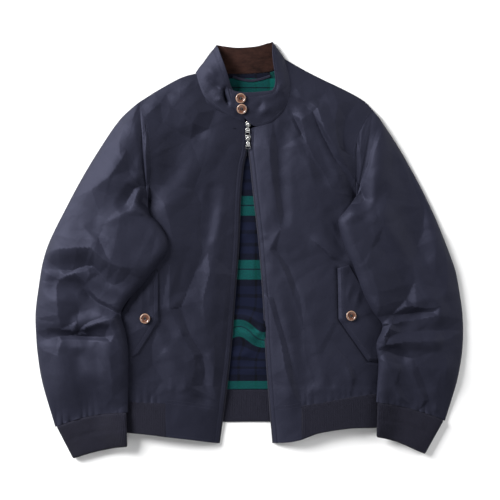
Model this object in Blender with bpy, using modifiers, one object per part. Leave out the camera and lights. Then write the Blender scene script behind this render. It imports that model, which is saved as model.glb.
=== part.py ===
"""Harrington jacket, laid on its back with the zip open from the bottom.

Right and left are the wearer's.  The tables are in millimetres: x runs from the
wearer's right to the left, y from hem to collar, z up from the floor.
Cloth pieces are flat outlines lifted by a height function and given a wall.
"""
import math
from collections import namedtuple

import bmesh
import bpy
import numpy as np
from mathutils import Matrix, Vector
from mathutils.geometry import delaunay_2d_cdt

MM = 0.001

# ------------------------------------------------------------------ driving sizes
SHELL = 1.4               # wall of the shell cloth
LINING = 1.2              # wall of the lining and of the collar facing
KNIT = 2.0                # wall of the ribbed hem and cuffs
PANEL_SPACING = 19.0      # spacing of the points that shape a panel
EDGE_ROW = 6.0            # distance of a sleeve's first row of points from its edge
GATHER_ROW = 9.0          # distance of the row above a rib's seam
SEAM = 0.3                # gap between neighbouring pieces
BODY_LOFT = 16.0          # how far a front rises over the back
BODY_EASE = 36.0          # distance from a side seam over which it rises
FRONT_EDGE_LIFT = 7.0     # height of the zip edges
HEM_EDGE_LIFT = 3.4       # height of the zip edges at the hem
SLEEVE_LOFT = 21.0        # hollow of a sleeve
SLEEVE_EASE = 58.0        # distance from its edge over which a sleeve rises
CUFF_HOLLOW = 7.5         # hollow of a flattened cuff
COVER_STEP = 5.0          # spacing of the raster that holds what a sleeve lies over
COVER_REACH = 9           # raster steps over which a sleeve comes down beside the body
COVER_SLOPE = 0.42        # how steeply it comes down
COVER_FLAT = 9.0          # distance beside the body before it starts to come down
LAYERS_OVER_FRONT = 3.8   # front wall, flap or rib wall, and their gaps
GATHER_PITCH = 14.0       # spacing of the gathers above the ribs
GATHER_RISE = 1.1         # height of those gathers
GATHER_FADE = 9.0         # distance over which they die away
EDGE_EASE = 26.0          # distance from a zip edge over which a front rises
FOLD_CALM = 30.0          # distance from an edge over which the folds grow
CUFF_EASE = 80.0          # distance above a cuff over which a sleeve fills out
ARMHOLE_EASE = 45.0       # distance over which a sleeve leaves the body's height
CUFF_POINTS = 28          # points round a cuff
CUFF_ROWS = 4             # rows of points from its seam to the wrist
CUFF_START = 0.006        # share of a row that a cuff stands off the sleeve's seam
CUFF_SIDE = 0.012         # share of its width that it is narrower at each side
CUFF_SQUARE = (0.7, 0.45) # powers across and up of its section: 1 is round, less is squarer
BULGE_ROWS = 4            # rows of points from the collar's seam to its top edge
LOOP_HALF = 2.5           # half width of the hanger loop
TAPE_UNDER = 10.0         # how far a zip tape runs under the front
TAPE_SHOW = 2.4           # how far it stands out into the opening
BUTTON_RADIUS = 9.0
BUTTON_THICK = 3.2
BUTTON_STEPS = 18         # sides of the button's outline

SLIDER_X = -1.6           # middle of both sliders
SLIDERS = {"upper": 225.4, "lower": 201.0}   # y of each pull's hinge
PLATE_LOW = FRONT_EDGE_LIFT + SHELL + 1.5    # underside of a slider's plate, over the fronts
PLATE_THICK = 1.6
PLATE_HALF = 4.5          # half width of the plate
PLATE_ENDS = (-7.0, 6.0)  # its ends, from the hinge
STEM_HALF = 2.3           # half width of the stem between the front edges
STEM_ENDS = (-5.5, 4.5)
ARCH_HALF = 1.2           # half width of the arch that holds a pull's bar
ARCH_REACH = 3.2          # half length of the arch
ARCH_TOP = 2.3            # top of the arch over the hinge axis
EYE_REACH = 2.1           # half length of the arch's eye
EYE_TOP = 1.1             # top of the eye over the hinge axis
SINK = 0.4                # how far a slider's parts run into each other where they join
BAR_RADIUS = 0.8
BAR_HEIGHT = PLATE_LOW + PLATE_THICK + 1.1   # height of the hinge axis
PULL_LENGTH = 20.5
PULL_HALF = 4.4           # half width of a pull at its free end
PULL_NECK = 2.9           # half width at its arms
PULL_FORK = 1.7           # half width of the gap between the arms
PULL_ARM = 4.9            # length of that gap from the hinge
PULL_SHOULDER = 6.5       # where the blade starts to widen
PULL_HOLE = 1.7           # radius of the hole in the blade
PULL_THICK = 1.4

# ------------------------------------------------------------------ outline tables
# one row for each side: lines of (x, y) points, from the collar down
Side = namedtuple("Side", "neck shoulder armhole underarm side_seam hem_seam hem centre")
SIDES = {
    "right": Side(
        neck=((-94, 316), (-87, 290), (-75, 268), (-44.5, 245), (-18, 232), (-4.5, 226)),
        shoulder=((-94, 316), (-111, 312), (-130, 304), (-162, 286), (-194, 266)),
        armhole=((-194, 266), (-188, 242), (-182, 218), (-176.5, 175), (-177, 140), (-181, 90)),
        underarm=((-181, 90), (-213, 80), (-244, 65)),
        side_seam=((-244, 65), (-262, -16), (-258, -141), (-244, -266)),
        hem_seam=((-244, -266), (-212, -269), (-180, -270.5), (-148, -271)),
        hem=((-244, -321), (-215, -324), (-180, -327), (-148, -331)),
        centre=((-4.5, 226), (-5.5, 181), (-12, 150), (-17, 96), (-20, 16), (-27, -81),
                (-34.5, -178), (-44.5, -266), (-55, -343)),
    ),
    "left": Side(
        neck=((63, 342), (71, 313), (73, 286), (64, 252), (37, 227), (2.5, 218)),
        shoulder=((63, 342), (98, 322), (133.5, 304), (171, 286), (203, 268), (221, 250)),
        armhole=((221, 250), (205, 226), (192, 197), (189, 165), (190.5, 133), (192, 97)),
        underarm=((192, 97), (221, 84), (247, 65)),
        side_seam=((247, 65), (262, -16), (254.5, -141), (242, -255)),
        hem_seam=((242, -255), (218, -256), (180, -261), (135, -269), (93.5, -276)),
        hem=((242, -314), (218, -315.5), (180, -316), (126, -324), (93.5, -336)),
        centre=((2.5, 218), (1.5, 181), (5, 150), (10.5, 96), (19.5, 16), (27, -81),
                (32, -178), (38, -266), (44.5, -343)),
    ),
}
# hem of each front from its rib to the zip edge, in one piece with the front
FRONT_HEM = {
    "right": ((-148, -331), (-105, -336), (-55, -343)),
    "left": ((93.5, -336), (73, -340.5), (44.5, -343)),
}
BACK_NECK = ((-94, 316), (-60, 315), (-5, 315), (39, 319), (52, 328), (63, 342))
BACK_HEM_SEAM = ((-244, -264), (-150, -252), (0, -249), (150, -251), (242, -253))
BACK_HEM = ((-244, -319), (-150, -309), (0, -305), (150, -307), (242, -312))

# one row for each sleeve: outer and inner edges from armhole to cuff, and the cuff
Sleeve = namedtuple("Sleeve", "outer inner cuff_seam cuff_end")
SLEEVES = {
    "right": Sleeve(
        outer=((-194, 266), (-230, 233), (-267, 179), (-299, 126), (-327.5, 72.5), (-354, 19),
               (-367, -20), (-374, -61), (-380, -110), (-379, -153), (-375.5, -191),
               (-367, -239), (-345, -314)),
        inner=((-181, 90), (-178, 65), (-162, 49), (-146, 22), (-147, -2), (-163, -24),
               (-187, -56), (-217, -89), (-228, -113), (-220, -145), (-215, -180),
               (-215, -235), (-216, -287)),
        cuff_seam=((-345, -314), (-302, -299), (-258, -290), (-216, -287)),
        cuff_end=((-315, -371), (-280, -360), (-248, -353), (-215, -348.5)),
    ),
    "left": Sleeve(
        outer=((221, 250), (238.5, 226), (262, 190), (287, 147), (311.5, 101), (333, 55),
               (351, 10), (367, -34), (374, -70), (380, -114), (381, -159), (377, -198),
               (368.5, -239), (349, -303)),
        inner=((192, 97), (173, 71), (160, 55), (163, 33), (174, 1), (187, -29), (203, -73),
               (219, -104), (238, -134), (227, -166), (231, -198), (229, -237), (227, -269)),
        cuff_seam=((349, -303), (325, -293), (272, -277), (227, -269)),
        cuff_end=((315, -363), (290, -352), (262, -340), (225.5, -331)),
    ),
}

# largest folds: half width, rise (a trough is negative) and the points they run through
Fold = namedtuple("Fold", "half_width rise path")
BODY_FOLDS = {
    "right": (
        Fold(26, -5, ((-150, 258), (-110, 240), (-92, 218))),
        Fold(30, 4, ((-64, 190), (-92, 140), (-150, 82))),
        Fold(34, -4, ((-128, 190), (-140, 140))),
        Fold(20, -4, ((-62, 108), (-74, 28))),
        Fold(24, 3, ((-44, 60), (-60, -20), (-62, -110))),
        Fold(24, -5, ((-148, -122), (-132, -158), (-90, -186), (-78, -262))),
        Fold(28, 4, ((-120, -100), (-90, -150), (-60, -200))),
        Fold(22, 3, ((-140, -190), (-110, -255))),
    ),
    "left": (
        Fold(22, -4, ((64, 248), (94, 212), (138, 132))),
        Fold(20, -3, ((66, 216), (56, 160), (60, 55))),
        Fold(26, 4, ((98, 240), (140, 150), (176, 100))),
        Fold(22, 5, ((122, 250), (154, 165), (186, 108))),
        Fold(24, -4, ((46, -8), (92, -140), (110, -230))),
        Fold(26, 3, ((60, -60), (70, -180), (66, -280))),
        Fold(24, 3, ((125, 10), (172, -22))),
        Fold(24, -3, ((150, 60), (162, -10))),
    ),
}
SLEEVE_FOLDS = {
    "right": (
        Fold(30, 5, ((-206, 216), (-248, 130), (-214, 112))),
        Fold(22, -6, ((-186, 116), (-204, 104), (-218, 84))),
        Fold(32, 6, ((-352, 2), (-280, 8), (-212, -38))),
        Fold(28, -8, ((-342, -62), (-300, -66), (-232, -100))),
        Fold(20, 6, ((-300, -128), (-262, -118), (-236, -122))),
        Fold(22, -5, ((-372, -148), (-332, -150), (-288, -152))),
        Fold(26, 4, ((-345, -170), (-330, -230), (-318, -290))),
        Fold(22, -3, ((-300, -190), (-285, -270))),
        Fold(22, 3, ((-250, -170), (-246, -260))),
    ),
    "left": (
        Fold(22, -3, ((216, 214), (212, 150))),
        Fold(28, 5, ((232, 190), (222, 120), (182, 72))),
        Fold(32, -4, ((270, 150), (292, 60), (300, 0))),
        Fold(30, 5, ((232, 60), (290, -30), (330, -110))),
        Fold(24, -6, ((240, -130), (276, -124), (318, -106))),
        Fold(22, 5, ((236, -150), (282, -156), (326, -162))),
        Fold(22, -4, ((236, -168), (280, -200), (314, -236))),
        Fold(22, 4, ((292, -196), (318, -240), (330, -288))),
        Fold(20, 3, ((258, -210), (270, -268))),
    ),
}
# sides of the lining where the fronts cover it, and its folds
LINING_SIDES = {"right": ((-80, -249.6), (-66, 0), (-62, 200)),
                "left": ((58, 300), (62, 200), (66, 0), (80, -248.6))}
LINING_FOLDS = (
    Fold(16, 5, ((-12, -118), (10, -128), (17, -150), (4, -160), (-14, -152))),
    Fold(14, 3, ((-18, -180), (14, -176))),
)

BUNCHED = ((-30, -190), (34, -190), (34, -96), (-30, -96), (-30, -190))   # where it is bunched
HANGER_LOOP = ((-29, 311), (-12, 305.5), (3, 303.5), (20, 306), (38, 312))

# pocket flaps: outlines on the fronts, their seam slants towards the side
FLAPS = {
    "right": ((-176, -26), (-162, -38), (-162, -124), (-198, -182), (-222, -196), (-256, -160)),
    "left": ((178, -26), (158, -32), (160, -122), (212, -196), (232, -198), (252, -160)),
}
FLAP_BUTTONS = {"right": (-184.5, -120.5), "left": (181.5, -115.5)}
COLLAR_BUTTONS = {"upper": (-14.6, 270.5), "lower": (-12.5, 252.0)}

# collar sections from the end under the tab, round the back, to the end of the tab:
# seam and top edge in plan, and the height of each (None: the height of the front there)
Section = namedtuple("Section", "seam_x seam_y seam_z edge_x edge_y edge_z")
LIES = SHELL + SEAM       # height of what lies on the back panel
COLLAR = (
    Section(-8.0, 228.3, None, -4.0, 275.0, 12.0),
    Section(-19.6, 233.3, None, -19.6, 277.0, 12.5),
    Section(-35.6, 241.6, None, -31.0, 288.0, 14.5),
    Section(-53.4, 254.6, None, -35.0, 300.0, 19.0),
    Section(-69.0, 265.0, None, -39.0, 314.5, 22.0),
    Section(-80.5, 278.0, None, -44.5, 331.5, 22.0),
    Section(-88.5, 296.0, None, -50.0, 346.5, 19.0),
    Section(-92.6, 310.5, 4.6, -54.6, 360.0, 12.0),
    Section(-95.0, 317.2, 3.0, -57.6, 365.6, 5.5),
    Section(-90.5, 316.8, LIES, -54.0, 366.2, LIES),
    Section(-60.0, 315.6, LIES, -40.0, 364.0, LIES),
    Section(-20.0, 315.4, LIES, -18.0, 362.0, LIES),
    Section(20.0, 317.4, LIES, 14.0, 364.5, LIES),
    Section(42.0, 321.6, LIES, 31.0, 369.5, LIES),
    Section(57.5, 336.0, LIES, 38.5, 371.0, LIES),
    Section(63.2, 343.0, 3.0, 42.0, 371.3, 5.5),
    Section(65.4, 335.0, 4.6, 41.6, 357.0, 12.0),
    Section(70.0, 313.0, None, 43.0, 336.0, 18.0),
    Section(72.2, 290.0, None, 46.0, 315.0, 21.0),
    Section(70.4, 268.0, None, 47.0, 298.0, 22.0),
    Section(63.0, 252.4, None, 42.0, 285.0, 22.0),
    Section(51.0, 237.6, None, 27.0, 282.5, 21.0),
    Section(35.6, 227.4, None, 9.0, 281.0, 20.0),
    Section(15.0, 221.8, None, -4.0, 280.8, 19.4),
    Section(3.6, 226.0, 12.0, -12.0, 281.2, 19.0),
    Section(-6.0, 236.0, 13.2, -20.0, 282.0, 18.8),
    Section(-18.0, 245.5, 14.6, -28.0, 284.0, 18.6),
    Section(-28.0, 256.0, 15.8, -34.8, 287.5, 18.4),
)
COLLAR_BULGE = 2.0        # how far its standing part bows out
NECK_CLEAR = 0.8          # the collar's seam stands this far off the cut edge of the neck
TAB_UNDER = 8             # last section on the right front's neck, counted from 0
BACK_ROWS = (9, 14)       # the sections along the back neck, whose inner side shows
TAB_START = 23            # last section on the left front's neck, where the tab begins
FACING_INSET = 3.0        # how far the facing stops short of the collar's side folds

Colour = namedtuple("Colour", "red green blue roughness metal")
COLOURS = {
    "shell": Colour(0.034, 0.036, 0.058, 0.62, 0.0),
    "knit": Colour(0.028, 0.030, 0.046, 0.85, 0.0),
    "lining": Colour(0.012, 0.090, 0.065, 0.90, 0.0),
    "facing": Colour(0.042, 0.020, 0.016, 0.90, 0.0),
    "button": Colour(0.36, 0.19, 0.10, 0.35, 0.0),
    "tape": Colour(0.012, 0.012, 0.018, 0.80, 0.0),
    "metal": Colour(0.62, 0.62, 0.60, 0.30, 1.0),
}

for leftover in list(bpy.data.objects):
    bpy.data.objects.remove(leftover, do_unlink=True)
jacket = bpy.data.collections.new("harrington_jacket")
bpy.context.scene.collection.children.link(jacket)
tools = bpy.data.collections.new("cutters")
bpy.context.scene.collection.children.link(tools)


# ------------------------------------------------------------------ materials, objects
def material(kind):
    """Principled material of one of the jacket's finishes."""
    if kind in bpy.data.materials:
        return bpy.data.materials[kind]
    look = COLOURS[kind]
    made = bpy.data.materials.new(kind)
    made.use_nodes = True
    shader = made.node_tree.nodes["Principled BSDF"]
    shader.inputs["Base Color"].default_value = (look.red, look.green, look.blue, 1.0)
    shader.inputs["Roughness"].default_value = look.roughness
    shader.inputs["Metallic"].default_value = look.metal
    return made


def add_mesh(name, points, faces, kind):
    """Object from points in millimetres."""
    mesh = bpy.data.meshes.new(name)
    mesh.from_pydata([tuple(p) for p in np.asarray(points) * MM], [], [tuple(f) for f in faces])
    mesh.update()
    made = bpy.data.objects.new(name, mesh)
    made.data.materials.append(material(kind))
    jacket.objects.link(made)
    return made


def add_wall(sheet, thickness, outwards=True):
    """Cloth wall on one side of an open sheet."""
    wall = sheet.modifiers.new("wall", "SOLIDIFY")
    wall.thickness = thickness * MM
    wall.offset = 1.0 if outwards else -1.0
    return sheet


# ------------------------------------------------------------------ lines in plan
def smooth_line(points, step):
    """Catmull-Rom curve through the points, cut into equal lengths of about step."""
    knots = np.array(points, float)
    knots = np.vstack([2 * knots[0] - knots[1], knots, 2 * knots[-1] - knots[-2]])
    t = np.linspace(0, 1, 12, endpoint=False)[:, None]
    dense = []
    for a, b, c, d in zip(knots, knots[1:], knots[2:], knots[3:]):
        dense.append(0.5 * (2 * b + (c - a) * t + (2 * a - 5 * b + 4 * c - d) * t ** 2
                            + (3 * b - a - 3 * c + d) * t ** 3))
    dense = np.vstack(dense + [knots[-2:-1]])
    run = np.concatenate([[0], np.cumsum(np.hypot(*np.diff(dense, axis=0).T))])
    even = np.linspace(0, run[-1], max(2, int(round(run[-1] / step)) + 1))
    return np.column_stack([np.interp(even, run, dense[:, 0]), np.interp(even, run, dense[:, 1])])


def ring_of(lines):
    """Closed ring from lines that follow each other, without the shared end points."""
    ring = np.vstack([line[:-1] for line in lines])
    area = np.sum(ring[:, 0] * np.roll(ring[:, 1], -1) - ring[:, 1] * np.roll(ring[:, 0], -1))
    return ring if area > 0 else ring[::-1]


def inset(ring, amount):
    """Ring moved inwards by amount, mitred at its corners."""
    ahead = np.roll(ring, -1, axis=0) - ring
    ahead /= np.hypot(*ahead.T)[:, None]
    normal = np.column_stack([-ahead[:, 1], ahead[:, 0]])
    mitre = normal + np.roll(normal, 1, axis=0)
    mitre /= np.maximum((mitre * normal).sum(1), 0.5)[:, None]
    return ring + mitre * amount


def inside(ring, x, y):
    """Whether each (x, y) lies in a ring, by counting the edges crossed."""
    found = np.zeros(np.shape(x), bool)
    for (ax, ay), (bx, by) in zip(ring, np.roll(ring, -1, axis=0)):
        if ay != by:
            crossing = (ay > y) != (by > y)
            found ^= crossing & (x < (bx - ax) * (y - ay) / (by - ay) + ax)
    return found


def distance(line, x, y):
    """Distance from each (x, y) to the nearest stretch of a line."""
    line = np.asarray(line, float)
    start, run = line[:-1], np.diff(line, axis=0)
    dx = np.asarray(x)[..., None] - start[:, 0]
    dy = np.asarray(y)[..., None] - start[:, 1]
    length = np.maximum((run ** 2).sum(1), 1e-9)
    along = np.clip((dx * run[:, 0] + dy * run[:, 1]) / length, 0, 1)
    return np.hypot(dx - along * run[:, 0], dy - along * run[:, 1]).min(-1)


def nearest_on(line, x, y):
    """Nearest point of a line to each (x, y)."""
    start, run = line[:-1], np.diff(line, axis=0)
    dx = np.asarray(x)[..., None] - start[:, 0]
    dy = np.asarray(y)[..., None] - start[:, 1]
    along = np.clip((dx * run[:, 0] + dy * run[:, 1]) / (run ** 2).sum(1), 0, 1)
    best = np.hypot(dx - along * run[:, 0], dy - along * run[:, 1]).argmin(-1)[..., None]
    at = np.take_along_axis(along, best, -1)[..., 0]
    best = best[..., 0]
    return start[best, 0] + at * run[best, 0], start[best, 1] + at * run[best, 1]


def ease(value):
    """Smooth step from 0 to 1."""
    t = np.clip(value, 0, 1)
    return t * t * (3 - 2 * t)


def folds_at(folds, x, y):
    """Sum of the folds: each is a soft ridge, rise * (1 - (d / half_width)^2)^2."""
    height = np.zeros(np.shape(x))
    for fold in folds:
        near = distance(fold.path, x, y) / fold.half_width
        height += fold.rise * np.clip(1 - near ** 2, 0, None) ** 2
    return height


# ------------------------------------------------------------------ height functions
def rest_height(y):
    """Underside of a front where it lies on the back panel or, lower down, on the back rib."""
    return SHELL + SEAM + (KNIT - SHELL) * ease((-238 - y) / 10)


def zip_edge_height(y):
    """Underside of a front along its zip edge, lower towards the hem."""
    return FRONT_EDGE_LIFT - (FRONT_EDGE_LIFT - HEM_EDGE_LIFT) * ease((-230 - y) / 110)


def front_height(side, x, y):
    """Underside of a front: flat on the back at the side, lofted between, low at the zip."""
    lines = SIDES[side]
    rests = (smooth_line(lines.shoulder, 10),
             np.vstack([smooth_line(lines.underarm, 10), smooth_line(lines.side_seam, 20),
                        lines.hem[:1]]))
    seat = np.minimum(distance(rests[0], x, y), distance(rests[1], x, y))
    edge = distance(smooth_line(lines.centre, 20), x, y)
    loft = rest_height(y) + BODY_LOFT * (1 - np.exp(-seat / BODY_EASE))
    armhole = distance(smooth_line(lines.armhole, 20), x, y)
    calm = ((1 - np.exp(-seat / 18)) * ease((edge - 6) / FOLD_CALM)
            * ease((armhole - 3) / FOLD_CALM))
    loft = loft + folds_at(BODY_FOLDS[side], x, y) * calm
    lift = zip_edge_height(y)
    return lift + (loft - lift) * (1 - np.exp(-edge / EDGE_EASE))


def body_ring(side, step=12):
    """Outline of one half of the body with its rib."""
    lines = SIDES[side]
    return ring_of([smooth_line(lines.shoulder, step), smooth_line(lines.armhole, step),
                    smooth_line(lines.underarm, step), smooth_line(lines.side_seam, step),
                    np.array([lines.side_seam[-1], lines.hem[0]], float),
                    smooth_line(lines.hem, step), smooth_line(FRONT_HEM[side], step),
                    smooth_line(lines.centre, step)[::-1], smooth_line(lines.neck, step)[::-1]])


def cover_raster(side):
    """Heights that an under sleeve has to clear, with tent slopes around the body."""
    xs = np.arange(-400, 401, COVER_STEP)
    ys = np.arange(-390, 391, COVER_STEP)
    x, y = np.meshgrid(xs, ys)
    underarm = np.array(SIDES[side].underarm, float)
    below = y < np.interp(np.abs(x), np.abs(underarm[:, 0]), underarm[:, 1]) + 1
    body = inside(body_ring(side), x, y) & below
    own = np.where(body, front_height(side, x, y) + LAYERS_OVER_FRONT, 0.0)
    cover = own.copy()
    for i in range(-COVER_REACH, COVER_REACH + 1):
        for j in range(-COVER_REACH, COVER_REACH + 1):
            far = math.hypot(i, j) * COVER_STEP
            drop = COVER_SLOPE * max(0.0, far - COVER_FLAT)
            moved = np.roll(own, (i, j), (0, 1)) - drop
            cover = np.maximum(cover, moved)
    return xs, ys, cover


COVERS = {side: cover_raster(side) for side in SIDES}


def cover_height(side, x, y):
    """Underside of an under sleeve: on the floor, or over the body's side."""
    xs, ys, cover = COVERS[side]
    fx = np.clip((np.asarray(x, float) - xs[0]) / COVER_STEP, 0, len(xs) - 1.001)
    fy = np.clip((np.asarray(y, float) - ys[0]) / COVER_STEP, 0, len(ys) - 1.001)
    i, j = fx.astype(int), fy.astype(int)
    u, v = fx - i, fy - j
    return ((cover[j, i] * (1 - u) + cover[j, i + 1] * u) * (1 - v)
            + (cover[j + 1, i] * (1 - u) + cover[j + 1, i + 1] * u) * v)


def dome(reach):
    """Quarter round from 0 at the edge to 1."""
    return np.sqrt(1 - (1 - np.clip(reach, 0, 1)) ** 2)


def sleeve_height(side, x, y):
    """Inner side of a top sleeve: domed between its edges, running into the front."""
    lines = SLEEVES[side]
    outer, inner = smooth_line(lines.outer, 12), smooth_line(lines.inner, 12)
    edge = np.minimum(distance(outer, x, y), distance(inner, x, y))
    under = cover_height(side, x, y)
    cuff = ease(distance(smooth_line(lines.cuff_seam, 12), x, y) / CUFF_EASE)
    loft = CUFF_HOLLOW + (SLEEVE_LOFT - CUFF_HOLLOW) * cuff
    loft = loft * (1 - 0.4 * np.clip(under / 20, 0, 1))
    bottom = under + SHELL + SEAM
    calm = 1 - np.exp(-edge / 14)
    free = bottom + loft * dome(edge / SLEEVE_EASE)
    free = free + folds_at(SLEEVE_FOLDS[side], x, y) * calm * (0.3 + 0.7 * cuff)
    seam = smooth_line(SIDES[side].armhole, 12)
    away = ease(distance(seam, x, y) / ARMHOLE_EASE)
    joined = front_height(side, x, y)
    return np.maximum(joined + (free - joined) * away, bottom + 0.25 * np.clip(edge, 0, 20))


def gathers_at(seam, x, y):
    """Gathers above a rib seam: rise * cos(2 pi x / pitch), fading out with the distance."""
    fade = np.exp(-distance(seam, x, y) / GATHER_FADE)
    return GATHER_RISE * np.cos(2 * math.pi * x / GATHER_PITCH) * fade


# ------------------------------------------------------------------ cloth panels
def lattice_in(ring, spacing):
    """Rows of a triangular lattice inside a ring."""
    (x0, y0), (x1, y1) = ring.min(0), ring.max(0)
    rows = []
    for i, y in enumerate(np.arange(y0, y1, spacing * math.sqrt(0.75))):
        x = np.arange(x0 + (i % 2) * spacing / 2, x1, spacing)
        rows.append(np.column_stack([x, np.full(len(x), y)]))
    lattice = np.vstack(rows)
    return lattice[inside(ring, lattice[:, 0], lattice[:, 1])]


def thinned(points, kept, gap):
    """The points that lie more than gap from those kept before them."""
    kept = list(kept)
    first = len(kept)
    for point in points:
        near = np.hypot(*(np.array(kept) - point).T).min()
        if near > gap:
            kept.append(point)
    return np.array(kept[first:]).reshape(-1, 2)


def panel(name, ring, height, kind, wall, spacing, crests=(), close=(), patch=None):
    """Cloth piece: outline filled with a lattice of triangles, lifted, with a wall on top.

    Crests are lines that get points of their own, close are points that may lie
    near the outline, and patch is a ring whose edges the triangles keep to.
    """
    ring = inset(ring, SEAM / 2)
    held = ring if patch is None else np.vstack([ring, patch])
    held = np.vstack([held, thinned(close, held, 2.5)]) if len(close) else held
    closed = np.vstack([ring, ring[:1]])
    for line in crests:
        line = line[inside(ring, *line.T)]
        line = line[distance(closed, *line.T) > 7]
        held = np.vstack([held, thinned(line, held, spacing * 0.5)])
    lattice = lattice_in(ring, spacing)
    lattice = lattice[distance(closed, *lattice.T) > spacing * 0.45]
    points = np.vstack([held, thinned(lattice, held, spacing * 0.62)])
    edges = []
    if patch is not None:
        first, count = len(ring), len(patch)
        edges = [(first + k, first + (k + 1) % count) for k in range(count)]
    plan, _, faces, _, _, _ = delaunay_2d_cdt([Vector(p) for p in points], edges,
                                              [list(range(len(ring)))], 1, 1e-4)
    plan = np.array([tuple(p) for p in plan])
    lifted = np.column_stack([plan, height(plan[:, 0], plan[:, 1])])
    return add_wall(add_mesh(name, lifted, faces, kind), wall)


def patch_on(name, carrier, ring, lift, kind, wall):
    """Piece that lies on a panel: the panel's own faces inside a ring, moved out."""
    mesh = carrier.data
    points = np.array([v.co[:] for v in mesh.vertices]) / MM
    normals = np.array([n.vector[:] for n in mesh.vertex_normals])
    faces = np.array([f.vertices[:] for f in mesh.polygons])
    middle = points[faces].mean(1)
    faces = faces[inside(ring, middle[:, 0], middle[:, 1])]
    used, compact = np.unique(faces, return_inverse=True)
    raised = points[used] + normals[used] * lift
    return add_wall(add_mesh(name, raised, compact.reshape(faces.shape), kind), wall)


def seat_on(carrier, x, y, radius):
    """Plane that rests on a cloth piece's outer face: its height at (x, y) and its slopes."""
    shape = carrier.evaluated_get(bpy.context.evaluated_depsgraph_get())
    turn = np.linspace(0, 2 * math.pi, 12, endpoint=False)
    spots = [(0.0, 0.0)] + [(r * radius * math.cos(a), r * radius * math.sin(a))
                            for r in (0.5, 1.0) for a in turn]
    found = []
    for dx, dy in spots:
        hit, place, _, _ = shape.ray_cast(Vector(((x + dx) * MM, (y + dy) * MM, 0.1)), (0, 0, -1))
        if hit:
            found.append((1.0, dx, dy, place.z / MM))
    found = np.array(found)
    fit = np.linalg.lstsq(found[:, :3], found[:, 3], rcond=None)[0]
    return fit[0] + (found[:, 3] - found[:, :3] @ fit).max(), fit[1], fit[2]


def side_edges(side):
    """Shoulder, armhole, underarm and side seam of one side, cut alike for every panel."""
    lines = SIDES[side]
    return [smooth_line(lines.shoulder, 16), smooth_line(lines.armhole, 12),
            smooth_line(lines.underarm, 14), smooth_line(lines.side_seam, 24)]


def make_fronts():
    """The two fronts with their pocket flaps and the flaps' buttons."""
    for side, lines in SIDES.items():
        seam = smooth_line(lines.hem_seam, GATHER_PITCH / 4)
        drop = np.array([lines.hem_seam[-1], lines.hem[-1]], float)
        ring = ring_of(side_edges(side) + [seam, drop, smooth_line(FRONT_HEM[side], 16),
                                           smooth_line(lines.centre, 16)[::-1],
                                           smooth_line(lines.neck, 7)[::-1]])
        flap = np.array(FLAPS[side], float)
        closed = np.vstack([flap, flap[:1]])
        flap = ring_of([smooth_line(pair, 14) for pair in zip(closed, closed[1:])])

        def height(x, y, side=side, seam=seam):
            base = front_height(side, x, y)
            return base + gathers_at(seam, x, y) * ease((base - rest_height(y)) / 6)

        crests = [smooth_line(fold.path, 16) for fold in BODY_FOLDS[side]]
        front = panel(f"front_{side}", ring, height, "shell", SHELL, PANEL_SPACING, crests,
                      seam[2:-2] + (0, GATHER_ROW), flap)
        made = patch_on(f"pocket_flap_{side}", front, flap, SHELL + SEAM, "shell", SHELL)
        add_button(f"flap_button_{side}", made, *FLAP_BUTTONS[side])


def make_back():
    """Back panel, flat on the floor, its rib, and the lining that shows between the fronts."""
    right, left = side_edges("right"), side_edges("left")
    hem = smooth_line(BACK_HEM_SEAM, 40)
    ring = ring_of(right + [np.vstack([right[-1][-1:], hem[:1]]), hem,
                            np.vstack([hem[-1:], left[-1][-1:]])]
                   + [line[::-1] for line in reversed(left)]
                   + [smooth_line(BACK_NECK, 8)[::-1]])
    panel("back", ring, lambda x, y: 0 * x, "shell", SHELL, 90)
    rib_top, rib_end = smooth_line(BACK_HEM_SEAM, 40), smooth_line(BACK_HEM, 40)
    rib = ring_of([rib_top, np.array([rib_top[-1], rib_end[-1]]), rib_end[::-1],
                   np.array([rib_end[0], rib_top[0]])])
    panel("hem_rib_back", rib, lambda x, y: 0 * x, "knit", KNIT, 60)

    top = smooth_line(BACK_NECK[1:5], 16) - (0, 0.2)
    left_edge = smooth_line((top[-1], *LINING_SIDES["left"]), 50)
    right_edge = smooth_line((*LINING_SIDES["right"], top[0]), 50)
    lining = ring_of([top, left_edge, np.array([left_edge[-1], right_edge[0]]), right_edge])
    near = lattice_in(ring_of([np.array(BUNCHED, float)]), 12)

    def height(x, y):
        return LIES + folds_at(LINING_FOLDS, x, y)

    panel("back_lining", lining, height, "lining", LINING, 60, close=near)


def make_front_ribs():
    """The ribs sewn under the fronts, from the side to the plain front ends."""
    for side, lines in SIDES.items():
        seam, end = smooth_line(lines.hem_seam, 14), smooth_line(lines.hem, 14)
        ring = ring_of([seam, np.array([seam[-1], end[-1]]), end[::-1],
                        np.array([end[0], seam[0]])])
        panel(f"hem_rib_{side}", ring, lambda x, y, side=side: front_height(side, x, y), "knit",
              KNIT, PANEL_SPACING)


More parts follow.
